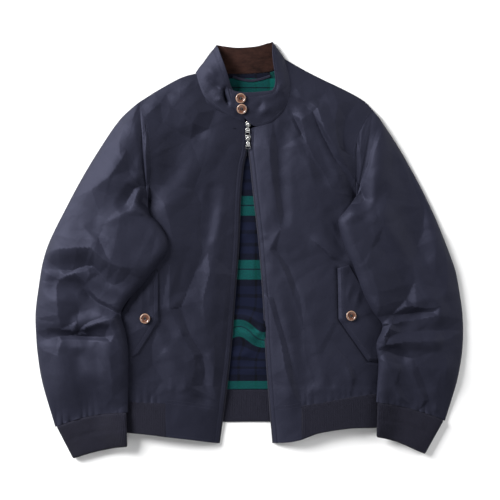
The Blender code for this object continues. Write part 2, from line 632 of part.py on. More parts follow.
def make_sleeves():
    """Two-piece sleeves: the under sleeve lies on floor and body, the top sleeve arches over."""
    for side, lines in SLEEVES.items():
        outer, inner = smooth_line(lines.outer, 14), smooth_line(lines.inner, 12)
        armhole = smooth_line(SIDES[side].armhole, 12)
        cuff = smooth_line(lines.cuff_seam, GATHER_PITCH / 4)
        under_ring = ring_of([outer, smooth_line(lines.cuff_seam, 16), inner[::-1],
                              armhole[::-1]])
        panel(f"under_sleeve_{side}", inset(under_ring, 1.0),
              lambda x, y, side=side: cover_height(side, x, y), "shell", SHELL,
              PANEL_SPACING * 1.3)
        ring = inset(ring_of([outer, cuff, inner[::-1], armhole[::-1]]), SEAM / 2)

        def height(x, y, side=side, cuff=cuff):
            base = sleeve_height(side, x, y)
            over = base - cover_height(side, x, y) - SHELL - SEAM
            return base + gathers_at(cuff, x, y) * ease(over / 5)

        shoulder = inset(ring, EDGE_ROW)
        shoulder = shoulder[distance(cuff, *shoulder.T) > GATHER_ROW + 4]
        above = cuff[3:-3] + (0, GATHER_ROW)
        crests = [smooth_line(fold.path, 16) for fold in SLEEVE_FOLDS[side]]
        panel(f"top_sleeve_{side}", ring, height, "shell", SHELL, PANEL_SPACING, crests,
              np.vstack([shoulder, above]))


def make_cuffs():
    """Ribbed cuffs: flattened tubes from the sleeve seam to the wrist."""
    around, rows = CUFF_POINTS, CUFF_ROWS
    turn = np.linspace(0, 2 * math.pi, around, endpoint=False)
    across = 0.5 - 0.5 * np.sign(np.cos(turn)) * np.abs(np.cos(turn)) ** CUFF_SQUARE[0]
    up = np.sign(np.sin(turn)) * np.abs(np.sin(turn)) ** CUFF_SQUARE[1]
    for side, lines in SLEEVES.items():
        seam, end = smooth_line(lines.cuff_seam, 4), smooth_line(lines.cuff_end, 4)
        points = []
        for row in range(rows):
            blend = (row + CUFF_START) / (rows - 1 + CUFF_START)
            share = CUFF_SIDE + (1 - 2 * CUFF_SIDE) * across
            at = [np.column_stack([np.interp(share, np.linspace(0, 1, len(line)), line[:, k])
                                   for k in (0, 1)]) for line in (seam, end)]
            plan = at[0] * (1 - blend) + at[1] * blend
            low = cover_height(side, plan[:, 0], plan[:, 1])
            high = (2 * KNIT + CUFF_HOLLOW) * (0.5 + 0.5 * up)
            points.append(np.column_stack([plan, low + high]))
        faces = [(r * around + k, r * around + (k + 1) % around,
                  (r + 1) * around + (k + 1) % around, (r + 1) * around + k)
                 for r in range(rows - 1) for k in range(around)]
        if side == "right":
            faces = [face[::-1] for face in faces]
        add_wall(add_mesh(f"cuff_{side}", np.vstack(points), faces, "knit"), KNIT, outwards=False)


def collar_lines():
    """Seam and top edge of the collar, smoothed, the seam laid along the neck of the body."""
    rows = []
    for row in COLLAR:
        side = "right" if row.seam_x < 0 else "left"
        low = row.seam_z
        if low is None:
            low = front_height(side, np.array([row.seam_x]), np.array([row.seam_y]))[0]
        rows.append((row.seam_x, row.seam_y, low, row.edge_x, row.edge_y, row.edge_z))
    rows = np.array(rows, float)
    knots = np.vstack([2 * rows[0] - rows[1], rows, 2 * rows[-1] - rows[-2]])
    fine = [rows[:1]]
    for a, b, c, d in zip(knots, knots[1:], knots[2:], knots[3:]):
        middle = (9 * (b + c) - a - d) / 16
        fine.append(np.vstack([middle, c]))
    fine = np.vstack(fine)
    seam, edge = fine[:, :3].copy(), fine[:, 3:]
    stretches = ((0, TAB_UNDER, SIDES["right"].neck), (*BACK_ROWS, BACK_NECK),
                 (BACK_ROWS[1] + 1, TAB_START, SIDES["left"].neck))
    for first, last, line in stretches:
        part = slice(2 * first, 2 * last + 1)
        on = np.column_stack(nearest_on(smooth_line(line, 3), seam[part, 0], seam[part, 1]))
        inwards = edge[part, :2] - on
        inwards /= np.hypot(*inwards.T)[:, None]
        seam[part, :2] = on + inwards * NECK_CLEAR
    return seam, edge


def collar_levels(seam, edge, bulge, span):
    """Collar surface: straight lines from seam to top edge, bowed out where it stands."""
    stands = np.clip((edge[:, 2] - LIES) / 8, 0, 1)
    levels = []
    for t in np.linspace(*span, BULGE_ROWS):
        level = seam * (1 - t) + edge * t
        level[:, 2] += bulge * math.sin(math.pi * t) * stands
        levels.append(level)
    return np.array(levels)


def sheet_faces(rows, count):
    """Quads of a grid of rows, each of count points."""
    return [(r * count + k, r * count + k + 1, (r + 1) * count + k + 1, (r + 1) * count + k)
            for r in range(rows - 1) for k in range(count - 1)]


def make_collar():
    """Stand collar that ends in a two-button tab, with a facing inside the back."""
    seam, edge = collar_lines()
    levels = collar_levels(seam, edge, COLLAR_BULGE, (0.0, 1.0))
    faces = [face[::-1] for face in sheet_faces(BULGE_ROWS, len(seam))]
    shell = add_wall(add_mesh("collar", levels.reshape(-1, 3), faces, "shell"), SHELL)
    part = slice(2 * BACK_ROWS[0], 2 * BACK_ROWS[1] + 1)
    levels = collar_levels(seam[part], edge[part], 0.0, (0.01, 0.985))
    levels[:, :, 2] += SEAM
    levels[:, 0, 0] += FACING_INSET
    levels[:, -1, 0] -= FACING_INSET
    faces = sheet_faces(BULGE_ROWS, levels.shape[1])
    add_wall(add_mesh("collar_facing", levels.reshape(-1, 3), faces, "facing"), LINING)
    for place, (x, y) in COLLAR_BUTTONS.items():
        add_button(f"collar_button_{place}", shell, x, y)


def make_hanger_loop():
    """Cloth loop sewn into the back neck seam."""
    centre = smooth_line(HANGER_LOOP, 9)
    along = np.gradient(centre, axis=0)
    across = np.column_stack([-along[:, 1], along[:, 0]])
    across *= LOOP_HALF / np.hypot(*across.T)[:, None]
    level = LIES + LINING + SEAM
    rows = [np.column_stack([centre + sign * across, np.full(len(centre), level)])
            for sign in (-1, 1)]
    count = len(centre)
    faces = [(k, k + 1, count + k + 1, count + k) for k in range(count - 1)]
    add_wall(add_mesh("hanger_loop", np.vstack(rows), faces, "shell"), SHELL)


# ------------------------------------------------------------------ hardware
def add_button(name, carrier, x, y):
    """Turned button with a raised rim, lying on a cloth piece at (x, y)."""
    profile = ((BUTTON_RADIUS - 2.6, BUTTON_THICK - 0.9), (BUTTON_RADIUS - 2.0, BUTTON_THICK),
               (BUTTON_RADIUS - 0.7, BUTTON_THICK - 0.2), (BUTTON_RADIUS, BUTTON_THICK * 0.55),
               (BUTTON_RADIUS - 0.8, 0.5), (BUTTON_RADIUS - 3.0, 0.0))
    steps = BUTTON_STEPS
    turn = np.linspace(0, 2 * math.pi, steps, endpoint=False)
    body = bmesh.new()
    rings = [[body.verts.new((r * math.cos(a) * MM, r * math.sin(a) * MM, h * MM)) for a in turn]
             for r, h in profile]
    for upper, lower in zip(rings, rings[1:]):
        for k in range(steps):
            body.faces.new((upper[k], lower[k], lower[(k + 1) % steps], upper[(k + 1) % steps]))
    body.faces.new(rings[0])
    body.faces.new(rings[-1][::-1])
    mesh = bpy.data.meshes.new(name)
    body.to_mesh(mesh)
    body.free()
    made = bpy.data.objects.new(name, mesh)
    made.data.materials.append(material("button"))
    level, slope_x, slope_y = seat_on(carrier, x, y, BUTTON_RADIUS)
    facing = Vector((-slope_x, -slope_y, 1)).normalized()
    made.rotation_euler = facing.to_track_quat("Z", "Y").to_euler()
    made.location = (Vector((x, y, level)) + facing * SEAM) * MM
    jacket.objects.link(made)
    return made


def make_zip_tapes():
    """Zip tapes under the front edges, reaching into the opening."""
    for side, lines in SIDES.items():
        edge = smooth_line(lines.centre, 32)[1:]
        edge[0] = lines.centre[0] + (edge[0] - lines.centre[0]) * 0.3
        outward = -1 if side == "right" else 1
        top = zip_edge_height(edge[:, 1]) - SEAM - LINING - 0.2
        rows = [np.column_stack([edge[:, 0] + outward * shift, edge[:, 1], top])
                for shift in (TAPE_UNDER, -TAPE_SHOW)]
        count = len(edge)
        faces = [(k, k + 1, count + k + 1, count + k) for k in range(count - 1)]
        if side == "left":
            faces = [face[::-1] for face in faces]
        made = add_mesh(f"zip_tape_{side}", np.vstack(rows), faces, "tape")
        flip_up(made)
        add_wall(made, LINING)


def flip_up(made):
    """Turn a sheet's faces to look up."""
    work = bmesh.new()
    work.from_mesh(made.data)
    work.normal_update()
    down = [face for face in work.faces if face.normal.z < 0]
    bmesh.ops.reverse_faces(work, faces=down)
    work.to_mesh(made.data)
    work.free()


def box(name, low, high, group):
    """Box between two corners in millimetres."""
    body = bmesh.new()
    bmesh.ops.create_cube(body, size=1.0)
    size = np.subtract(high, low) * MM
    middle = np.add(high, low) / 2 * MM
    bmesh.ops.transform(body, matrix=Matrix.Translation(middle) @ Matrix.Diagonal((*size, 1)),
                        verts=body.verts)
    mesh = bpy.data.meshes.new(name)
    body.to_mesh(mesh)
    body.free()
    made = bpy.data.objects.new(name, mesh)
    group.objects.link(made)
    return made


def combine(target, other, operation):
    """Join or cut a hard piece with a helper, which stays hidden."""
    other.hide_render = True
    other.display_type = "WIRE"
    step = target.modifiers.new(operation.lower(), "BOOLEAN")
    step.operation = operation
    step.solver = "EXACT"
    step.object = other


def make_slider(place, y):
    """Slider: plate over the fronts, stem down to the tapes, arch over the pull's bar."""
    x, top = SLIDER_X, PLATE_LOW + PLATE_THICK
    plate = box(f"zip_slider_{place}", (x - PLATE_HALF, y + PLATE_ENDS[0], PLATE_LOW),
                (x + PLATE_HALF, y + PLATE_ENDS[1], top), jacket)
    plate.data.materials.append(material("metal"))
    stem = box(f"stem_{place}", (x - STEM_HALF, y + STEM_ENDS[0], FRONT_EDGE_LIFT - 0.1),
               (x + STEM_HALF, y + STEM_ENDS[1], PLATE_LOW + SINK), tools)
    combine(plate, stem, "UNION")
    arch = box(f"arch_{place}", (x - ARCH_HALF, y - ARCH_REACH, top - SINK),
               (x + ARCH_HALF, y + ARCH_REACH, BAR_HEIGHT + ARCH_TOP), tools)
    combine(plate, arch, "UNION")
    eye = box(f"eye_{place}", (x - 2 * ARCH_HALF, y - EYE_REACH, top),
              (x + 2 * ARCH_HALF, y + EYE_REACH, BAR_HEIGHT + EYE_TOP), tools)
    combine(plate, eye, "DIFFERENCE")


def make_pull(place, y):
    """Pull tab: a bar through the arch, two arms, and a widening blade with a hole."""
    end, corner = BAR_RADIUS + 0.1, 1.5
    half = ((PULL_FORK, -PULL_ARM), (PULL_FORK, end), (PULL_NECK, end), (PULL_NECK, -PULL_SHOULDER),
            (PULL_HALF, -PULL_LENGTH + corner), (PULL_HALF - corner, -PULL_LENGTH))
    outline = [*half, *((-px, py) for px, py in reversed(half))]
    turn = np.linspace(0, 2 * math.pi, 12, endpoint=False)
    hole = [(PULL_HOLE * math.cos(a), PULL_HALF - PULL_LENGTH + PULL_HOLE * math.sin(a))
            for a in turn]
    blade = bpy.data.curves.new(f"blade_{place}", "CURVE")
    blade.dimensions = "2D"
    blade.fill_mode = "BOTH"
    blade.extrude = PULL_THICK / 2 * MM
    for loop in (outline, hole):
        spline = blade.splines.new("POLY")
        spline.points.add(len(loop) - 1)
        for point, (px, py) in zip(spline.points, loop):
            point.co = (px * MM, py * MM, 0, 1)
        spline.use_cyclic_u = True
    flat = bpy.data.objects.new(f"blade_{place}", blade)
    tools.objects.link(flat)
    mesh = bpy.data.meshes.new_from_object(
        flat.evaluated_get(bpy.context.evaluated_depsgraph_get()))
    bpy.data.objects.remove(flat, do_unlink=True)
    weld = bmesh.new()
    weld.from_mesh(mesh)
    bmesh.ops.remove_doubles(weld, verts=weld.verts, dist=1e-6)
    bmesh.ops.recalc_face_normals(weld, faces=weld.faces)
    weld.to_mesh(mesh)
    weld.free()
    mesh.name = f"zip_pull_{place}"
    pull = bpy.data.objects.new(f"zip_pull_{place}", mesh)
    mesh.materials.clear()
    mesh.materials.append(material("metal"))
    jacket.objects.link(pull)
    rod = bmesh.new()
    bmesh.ops.create_cone(rod, cap_ends=True, segments=12, radius1=BAR_RADIUS * MM,
                          radius2=BAR_RADIUS * MM, depth=2 * (PULL_NECK - 0.4) * MM,
                          matrix=Matrix.Rotation(math.pi / 2, 4, "Y"))
    rod_mesh = bpy.data.meshes.new(f"bar_{place}")
    rod.to_mesh(rod_mesh)
    rod.free()
    bar = bpy.data.objects.new(f"bar_{place}", rod_mesh)
    tools.objects.link(bar)
    hinge = bpy.data.objects.new(f"hinge_{place}", None)
    hinge.location = (SLIDER_X * MM, y * MM, BAR_HEIGHT * MM)
    tools.objects.link(hinge)
    pull.parent = hinge
    bar.parent = hinge
    combine(pull, bar, "UNION")


make_back()
make_front_ribs()
make_fronts()
make_sleeves()
make_cuffs()
make_collar()
make_hanger_loop()
make_zip_tapes()
for place, y in SLIDERS.items():
    make_slider(place, y)
    make_pull(place, y)
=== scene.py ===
"""Harrington jacket laid on its back, its zip open from the bottom, dressed piece by piece.

Right and left are the wearer's.  Sizes are in millimetres: x runs from the wearer's right
to the left, y from hem to collar and z up from the floor.
"""
import math
from collections import namedtuple

import bpy
import numpy as np
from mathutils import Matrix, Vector
from mathutils.geometry import delaunay_2d_cdt


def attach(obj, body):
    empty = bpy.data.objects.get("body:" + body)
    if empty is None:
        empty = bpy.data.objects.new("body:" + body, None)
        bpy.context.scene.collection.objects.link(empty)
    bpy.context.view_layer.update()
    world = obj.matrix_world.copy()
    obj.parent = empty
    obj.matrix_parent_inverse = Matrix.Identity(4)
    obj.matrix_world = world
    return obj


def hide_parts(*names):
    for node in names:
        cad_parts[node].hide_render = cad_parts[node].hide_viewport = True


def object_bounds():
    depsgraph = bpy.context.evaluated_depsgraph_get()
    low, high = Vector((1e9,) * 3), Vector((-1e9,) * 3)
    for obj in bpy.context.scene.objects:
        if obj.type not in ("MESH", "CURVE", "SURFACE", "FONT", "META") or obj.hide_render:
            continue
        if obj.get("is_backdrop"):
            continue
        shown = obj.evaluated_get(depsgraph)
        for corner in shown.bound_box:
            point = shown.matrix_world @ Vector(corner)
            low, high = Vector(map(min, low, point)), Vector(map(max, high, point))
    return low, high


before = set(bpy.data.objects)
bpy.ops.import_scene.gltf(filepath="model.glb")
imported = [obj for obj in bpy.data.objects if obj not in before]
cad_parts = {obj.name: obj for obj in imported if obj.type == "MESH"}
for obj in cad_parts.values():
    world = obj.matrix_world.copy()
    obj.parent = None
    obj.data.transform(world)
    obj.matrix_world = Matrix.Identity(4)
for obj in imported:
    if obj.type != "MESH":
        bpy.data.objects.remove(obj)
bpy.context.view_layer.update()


# ============================================================ back panel
# One piece of navy shell cloth from shoulders to hem rib.  It lies flat on the floor, and the
# side lines that it is cut to are those of the fronts and of the sleeves as well.
MM = 0.001
SHELL = 1.4               # shell cloth with its backing
SEAM = 0.3                # gap between neighbouring pieces
RIM = 4                   # facets round a cut edge
Side = namedtuple("Side", "neck shoulder armhole underarm side_seam hem_seam hem centre")
SIDES = {
    "right": Side(
        neck=((-94, 316), (-87, 290), (-75, 268), (-44.5, 245), (-18, 232), (-4.5, 226)),
        shoulder=((-94, 316), (-111, 312), (-130, 304), (-162, 286), (-194, 266)),
        armhole=((-194, 266), (-188, 242), (-182, 218), (-176.5, 175), (-177, 140), (-181, 90)),
        underarm=((-181, 90), (-213, 80), (-244, 65)),
        side_seam=((-244, 65), (-262, -16), (-258, -141), (-244, -266)),
        hem_seam=((-244, -266), (-212, -269), (-180, -270.5), (-148, -271)),
        hem=((-244, -321), (-215, -324), (-180, -327), (-148, -331)),
        centre=((-4.5, 226), (-5.5, 181), (-12, 150), (-17, 96), (-20, 16), (-27, -81),
                (-34.5, -178), (-44.5, -266), (-55, -343)),
    ),
    "left": Side(
        neck=((63, 342), (71, 313), (73, 286), (64, 252), (37, 227), (2.5, 218)),
        shoulder=((63, 342), (98, 322), (133.5, 304), (171, 286), (203, 268), (221, 250)),
        armhole=((221, 250), (205, 226), (192, 197), (189, 165), (190.5, 133), (192, 97)),
        underarm=((192, 97), (221, 84), (247, 65)),
        side_seam=((247, 65), (262, -16), (254.5, -141), (242, -255)),
        hem_seam=((242, -255), (218, -256), (180, -261), (135, -269), (93.5, -276)),
        hem=((242, -314), (218, -315.5), (180, -316), (126, -324), (93.5, -336)),
        centre=((2.5, 218), (1.5, 181), (5, 150), (10.5, 96), (19.5, 16), (27, -81),
                (32, -178), (38, -266), (44.5, -343)),
    ),
}
BACK_NECK = ((-94, 316), (-60, 315), (-5, 315), (39, 319), (52, 328), (63, 342))
BACK_HEM_SEAM = ((-244, -264), (-150, -252), (0, -249), (150, -251), (242, -253))
BACK_HEM = ((-244, -319), (-150, -309), (0, -305), (150, -307), (242, -312))


def steps_of(line):
    """Lengths of the stretches of a line."""
    return np.linalg.norm(np.diff(line, axis=0), axis=1)


def run_of(line):
    """Length along a line up to each of its points."""
    return np.concatenate([[0], np.cumsum(steps_of(line))])


def read_at(line, run, at):
    """Each coordinate of a line, known at the places run, interpolated at other places."""
    return np.stack([np.interp(at, run, value) for value in line.T], axis=-1)


def smooth_line(points, step):
    """Catmull-Rom curve through the points, cut into equal lengths of about step."""
    knots = np.array(points, float)
    knots = np.vstack([2 * knots[0] - knots[1], knots, 2 * knots[-1] - knots[-2]])
    a, b, c, d = (knots[k:len(knots) - 3 + k][:, None] for k in range(4))
    t = np.linspace(0, 1, 16, endpoint=False)[None, :, None]
    curve = 0.5 * (2 * b + (c - a) * t + (2 * a - 5 * b + 4 * c - d) * t ** 2
                   + (3 * b - a - 3 * c + d) * t ** 3)
    curve = np.vstack([curve.reshape(-1, knots.shape[1]), knots[-2:-1]])
    return even_line(curve, max(2, int(round(steps_of(curve).sum() / step)) + 1))


def even_line(line, count):
    """Line cut into count points an equal length apart."""
    run = run_of(line)
    return read_at(line, run, np.linspace(0, run[-1], count))


def joined_lines(lines, count):
    """Lines that follow each other, cut into count points in all, with a point at each corner."""
    lengths = np.array([steps_of(line).sum() for line in lines])
    marks = np.round(np.cumsum(lengths) / lengths.sum() * (count - 1)).astype(int)
    counts = np.diff(np.concatenate([[0], marks])) + 1
    cut = [even_line(line, number) for line, number in zip(lines, counts)]
    return np.vstack([cut[0]] + [line[1:] for line in cut[1:]])


def at_shares(line, shares):
    """Points of an evenly cut line at the given shares of its length."""
    return read_at(line, np.linspace(0, 1, len(line)), shares)


def patch_between(top, bottom, start, end, u, v):
    """Coons patch: top blended to bottom, plus start blended to end, less the four corners."""
    top, bottom = at_shares(top, u), at_shares(bottom, u)
    start, end = at_shares(start, v)[:, None], at_shares(end, v)[:, None]
    u, v = u[None, :, None], v[:, None, None]
    return ((1 - v) * top + v * bottom + (1 - u) * start + u * end
            - (1 - u) * (1 - v) * top[0] - u * (1 - v) * top[-1]
            - (1 - u) * v * bottom[0] - u * v * bottom[-1])


def evened(plan, rounds):
    """Grid whose inner points are moved to the mean of their four neighbours, in rounds."""
    made = plan.copy()
    for _ in range(rounds):
        made[1:-1, 1:-1] = (made[:-2, 1:-1] + made[2:, 1:-1] + made[1:-1, :-2]
                            + made[1:-1, 2:]) / 4
    return made


def unit(vectors):
    """Vectors along the last axis divided by their lengths."""
    return vectors / np.maximum(np.linalg.norm(vectors, axis=-1, keepdims=True), 1e-9)


def normals_of(grid):
    """Unit normals of a grid: the cross product of its steps down the rows and along them."""
    return unit(np.cross(np.gradient(grid, axis=0), np.gradient(grid, axis=1)))


def edge_of(rows, columns, skipped_rows=0, skipped_columns=0):
    """Indices round a grid, from its first corner: top row, end, bottom, start.

    A grid may lack a block of its last rows and first columns.
    """
    index = np.arange(rows * columns).reshape(rows, columns)
    full = rows - 1 - skipped_rows
    loop = [index[0, :-1], index[:-1, -1], index[-1, :skipped_columns:-1]]
    if skipped_rows:
        loop += [index[:full:-1, skipped_columns], index[full, skipped_columns:0:-1]]
    return np.concatenate(loop + [index[full:0:-1, 0]])


def add_wall(name, grid, wall, finish, skipped=(0, 0), grain=None, turned=None, slopes=None):
    """Cloth with a real thickness from a grid of points on its inner side.

    The outer side is the grid moved out by wall along its normals, and a half round of
    radius wall / 2 joins the two all round.  Where slopes are given, the outer side is
    shaded by them, as a normal (-dz/dx, -dz/dy, 1).
    """
    rows, columns = grid.shape[:2]
    normal = normals_of(grid).reshape(-1, 3)
    laid = turned is None
    turned = normal[:, 2].mean() < 0 if laid else turned
    normal = -normal if turned else normal
    if laid:
        normal[normal[:, 2] < 0] = (0, 0, 1)
    inner = grid.reshape(-1, 3)
    outer = inner + normal * wall
    loop = edge_of(rows, columns, *skipped)
    around = np.roll(inner[loop], -1, axis=0) - np.roll(inner[loop], 1, axis=0)
    outward = unit(np.cross(normal[loop], around))
    outward = -outward if turned else outward
    turn = np.linspace(0, math.pi, RIM + 1)[1:-1, None, None]
    middle = inner[loop] + normal[loop] * wall / 2
    rings = middle + wall / 2 * (normal[loop] * np.cos(turn) + outward * np.sin(turn))
    count, ends = rows * columns, len(loop)
    points = np.vstack([outer, inner, rings.reshape(-1, 3)])
    index = np.arange(count).reshape(rows, columns)
    quads = np.stack([index[:-1, :-1], index[1:, :-1], index[1:, 1:], index[:-1, 1:]], axis=-1)
    kept = np.ones((rows - 1, columns - 1), bool)
    if skipped[0]:
        kept[rows - 1 - skipped[0]:, :skipped[1]] = False
    quads = quads[kept]
    ladder = np.vstack([loop, 2 * count + np.arange((RIM - 1) * ends).reshape(RIM - 1, ends),
                        loop + count])
    ahead = np.roll(ladder, -1, axis=1)
    rims = np.stack([ladder[:-1], ahead[:-1], ahead[1:], ladder[1:]], axis=-1).reshape(-1, 4)
    faces = np.vstack([quads, quads[:, ::-1] + count, rims])
    grain = grid[..., :2] if grain is None else grain
    grain = np.vstack([grain.reshape(-1, 2)] * 2 + [grain.reshape(-1, 2)[loop]] * (RIM - 1))
    faces = faces[:, ::-1] if turned else faces
    used, compact = np.unique(faces, return_inverse=True)
    made = add_surface(name, points[used], compact.reshape(-1, 4).tolist(), finish, grain[used])
    if slopes is not None:
        crisp = unit(np.concatenate([-slopes.reshape(-1, 2), np.ones((count, 1))], axis=1))
        ways = np.vstack([crisp, -normal, (rings - middle).reshape(-1, 3) * 2 / wall])[used]
        made.data.normals_split_custom_set_from_vertices(ways.tolist())
    return made


def placed(name, data):
    """Object that shows a mesh, a lamp or a camera in the scene."""
    made = bpy.data.objects.new(name, data)
    bpy.context.scene.collection.objects.link(made)
    return made


def add_surface(name, points, faces, finish, grain=None, body="root"):
    """Mesh object from points in millimetres; grain holds the cloth's own coordinates."""
    mesh = bpy.data.meshes.new(name)
    mesh.from_pydata((np.asarray(points) * MM).tolist(), [], [tuple(face) for face in faces])
    mesh.polygons.foreach_set("use_smooth", np.ones(len(mesh.polygons), bool))
    if grain is not None:
        layer = mesh.uv_layers.new(name="grain")
        corners = np.zeros(len(mesh.loops), int)
        mesh.loops.foreach_get("vertex_index", corners)
        layer.data.foreach_set("uv", (np.asarray(grain)[corners] * MM).ravel())
    mesh.update()
    mesh.materials.append(finish)
    made = placed(name, mesh)
    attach(made, body)
    return made


class Finish:
    """Principled material: even values on the shader's own sockets, patterns through its nodes.

    A pattern reads the cloth's grain, or place, the Object coordinates.
    """

    def __init__(self, name, colour, roughness, metallic=0.0, sheen=0.0, specular=0.5):
        """Shader with its even values; what isn't metal reflects in a tint of its colour."""
        self.made = bpy.data.materials.new(name)
        self.made.use_nodes = True
        self.shader = self.made.node_tree.nodes["Principled BSDF"].inputs
        self.spot = None
        for socket, value in (("Base Color", (*colour, 1)), ("Roughness", roughness),
                              ("Metallic", metallic), ("Sheen Weight", sheen),
                              ("Specular IOR Level", specular)):
            self.shader[socket].default_value = value
        if metallic == 0:
            hue = np.array(colour) / max(colour)
            self.shader["Specular Tint"].default_value = (*(0.2 + 0.8 * hue), 1)

    def link(self, socket, value):
        """Socket given a node's output, or a plain value."""
        if isinstance(value, bpy.types.NodeSocket):
            self.made.node_tree.links.new(value, socket)
        else:
            socket.default_value = value

    def add(self, kind, settings, *numbered, give=0, **named):
        """Node with its settings, its first sockets in order and others by name; one output."""
        node = self.made.node_tree.nodes.new("ShaderNode" + kind)
        for key, value in settings.items():
            setattr(node, key, value)
        for number, value in enumerate(numbered):
            self.link(node.inputs[number], value)
        for key, value in named.items():
            self.link(node.inputs[key.replace("_", " ")], value)
        return node.outputs[give]

    def grain(self):
        """Coordinates of the cloth's own grain in metres."""
        return self.add("UVMap", {"uv_map": "grain"})

    def axes(self):
        """Grain across the cloth and along it."""
        grain = self.grain()
        across = self.add("SeparateXYZ", {}, grain)
        return across, across.node.outputs[1]

    def place(self):
        """Object coordinates, of one node for the whole material."""
        self.spot = self.spot or self.add("TexCoord", {}, give="Object")
        return self.spot

    def math(self, operation, *terms):
        """Result of one operation on its terms."""
        return self.add("Math", {"operation": operation}, *terms)

    def wave(self, value, turns):
        """Sine of a value times turns."""
        return self.math("SINE", self.math("MULTIPLY", value, turns))

    def noise(self, scale, detail, roughness, spread=0.0, on=None):
        """Cloudy noise on the place, or on other coordinates, spread by distortion."""
        return self.add("TexNoise", {}, Vector=on or self.place(), Scale=scale, Detail=detail,
                        Roughness=roughness, Distortion=spread)

    def stretched(self, value, scale):
        """Coordinates drawn out by a scale."""
        return self.add("Mapping", {}, Vector=value, Scale=scale)

    def range(self, value, **ends):
        """Value brought from one range to another."""
        return self.add("MapRange", {}, Value=value, **ends)

    def mix(self, share, one, two, blend="MIX"):
        """Two colours blended by a share."""
        node = self.add("Mix", {"data_type": "RGBA", "blend_type": blend}, share, give=2).node
        for number, colour in ((6, one), (7, two)):
            flat = isinstance(colour, tuple) and len(colour) == 3
            self.link(node.inputs[number], (*colour, 1) if flat else colour)
        return node.outputs[2]

    def dent(self, *layers):
        """Bumps laid over one another, each by its height, strength and distance in metres."""
        normal = {}
        for height, strength, distance in layers:
            normal = {"Normal": self.add("Bump", {}, Strength=strength, Distance=distance,
                                         Height=height, **normal)}
        self.link(self.shader["Normal"], normal["Normal"])


def woven(name, colour, pale, threads, relief, roughness, sheen, specular, crumple):
    """Plain weave on the cloth's own grain, with uneven dye and small crumples.

    The weave's height is the product of a sine along the warp and one along the weft; two
    noises add the crumples, and a third blends the two colours.
    """
    cloth = Finish(name, colour, roughness, 0.0, sheen, specular)
    weave = cloth.math("MULTIPLY", *(cloth.wave(axis, 2 * math.pi * threads)
                                     for axis in cloth.axes()))
    dye = cloth.range(cloth.noise(14.0, 6.0, 0.65), From_Min=0.3, From_Max=0.7)
    cloth.link(cloth.shader["Base Color"], cloth.mix(dye, colour, pale))
    cloth.dent((cloth.noise(38.0, 5.0, 0.55, 0.6), crumple, 0.0022),
               (cloth.noise(210.0, 3.0, 0.6), crumple * 0.8, 0.0005), (weave, relief, 0.00012))
    return cloth.made


shell_cloth = woven("shell_cloth", (0.0100, 0.0105, 0.0180), (0.0128, 0.0135, 0.0225),
                    threads=1400, relief=0.25, roughness=0.58, sheen=0.0, specular=0.20,
                    crumple=0.35)


def side_line(side, count):
    """Armhole, underarm and side seam of one side, cut into count points."""
    lines = SIDES[side]
    return joined_lines([smooth_line(lines.armhole, 4), smooth_line(lines.underarm, 4),
                         smooth_line(lines.side_seam, 4)], count)


def pulled_in(grid, amount):
    """Grid shrunk towards its inside: each edge point moves by amount towards the next one."""
    made = grid.copy()
    for here, next_in in ((np.s_[0], np.s_[1]), (np.s_[-1], np.s_[-2]),
                          (np.s_[:, 0], np.s_[:, 1]), (np.s_[:, -1], np.s_[:, -2])):
        step = grid[next_in] - grid[here]
        length = np.maximum(np.linalg.norm(step, axis=-1, keepdims=True), 1e-9)
        made[here] = made[here] + step / length * np.minimum(amount, 0.45 * length)
    return made


def raised(plan, height):
    """Points in plan with a height for each."""
    return np.concatenate([plan, height[..., None]], axis=-1)


back_top = joined_lines([smooth_line(SIDES["right"].shoulder[::-1], 4), smooth_line(BACK_NECK, 4),
                         smooth_line(SIDES["left"].shoulder, 4)], 90)
back_plan = patch_between(back_top, smooth_line(BACK_HEM_SEAM, 6), side_line("right", 110),
                          side_line("left", 110), np.linspace(0, 1, 80), np.linspace(0, 1, 100))
back_plan = pulled_in(evened(back_plan, 80), 0.9)
back = add_wall("back_panel", raised(back_plan, np.zeros(back_plan.shape[:2])), SHELL,
                shell_cloth)
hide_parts("back")


# ============================================================ back hem rib
# A doubled band of fine rib knit sewn round the hem; the back's part shows between the fronts.
KNIT = 2.0
RIB_PITCH = 3.2           # one rib and one furrow
RIB_RELIEF = 0.20
RIB_STITCHES = 900        # stitches to a metre of rib
RIB_SLANT = 1.6           # slope of the two legs of a stitch
HEM_DEPTH = 56


def ease(value):
    """Smooth step from 0 to 1."""
    t = np.clip(value, 0, 1)
    return t * t * (3 - 2 * t)


def even_grain(across, along):
    """Cloth coordinates of a grid, from its places across the cloth and along it."""
    return np.stack(np.broadcast_arrays(across, np.reshape(along, (-1, 1))), axis=2)


def ribbed(name, colour, pale):
    """Rib knit: V-shaped stitches, as a sine along the rib.

    Its phase runs forward and back across each column, by the slant.
    """
    knit = Finish(name, colour, 0.85, 0.0, 0.05, 0.12)
    across, along = knit.axes()
    column = knit.math("PINGPONG", across, RIB_PITCH * MM / 4)
    stitch = knit.wave(knit.math("MULTIPLY_ADD", column, RIB_SLANT, along),
                       2 * math.pi * RIB_STITCHES)
    fuzz = knit.noise(260.0, 4.0, 0.7)
    knit.link(knit.shader["Base Color"], knit.mix(fuzz, colour, pale))
    knit.dent((fuzz, 0.5, 0.0005), (stitch, 0.5, 0.0004))
    return knit.made


rib_knit = ribbed("rib_knit", (0.0070, 0.0068, 0.0115), (0.0150, 0.0150, 0.0230))


def xy(grid):
    """Plan coordinates x and y of a grid of points."""
    return grid[..., 0], grid[..., 1]


def ribs_up(across):
    """Height of the ribs: a cosine over the pitch, flattened at its top by tanh."""
    return RIB_RELIEF * np.tanh(1.6 * np.cos(2 * math.pi * across / RIB_PITCH))


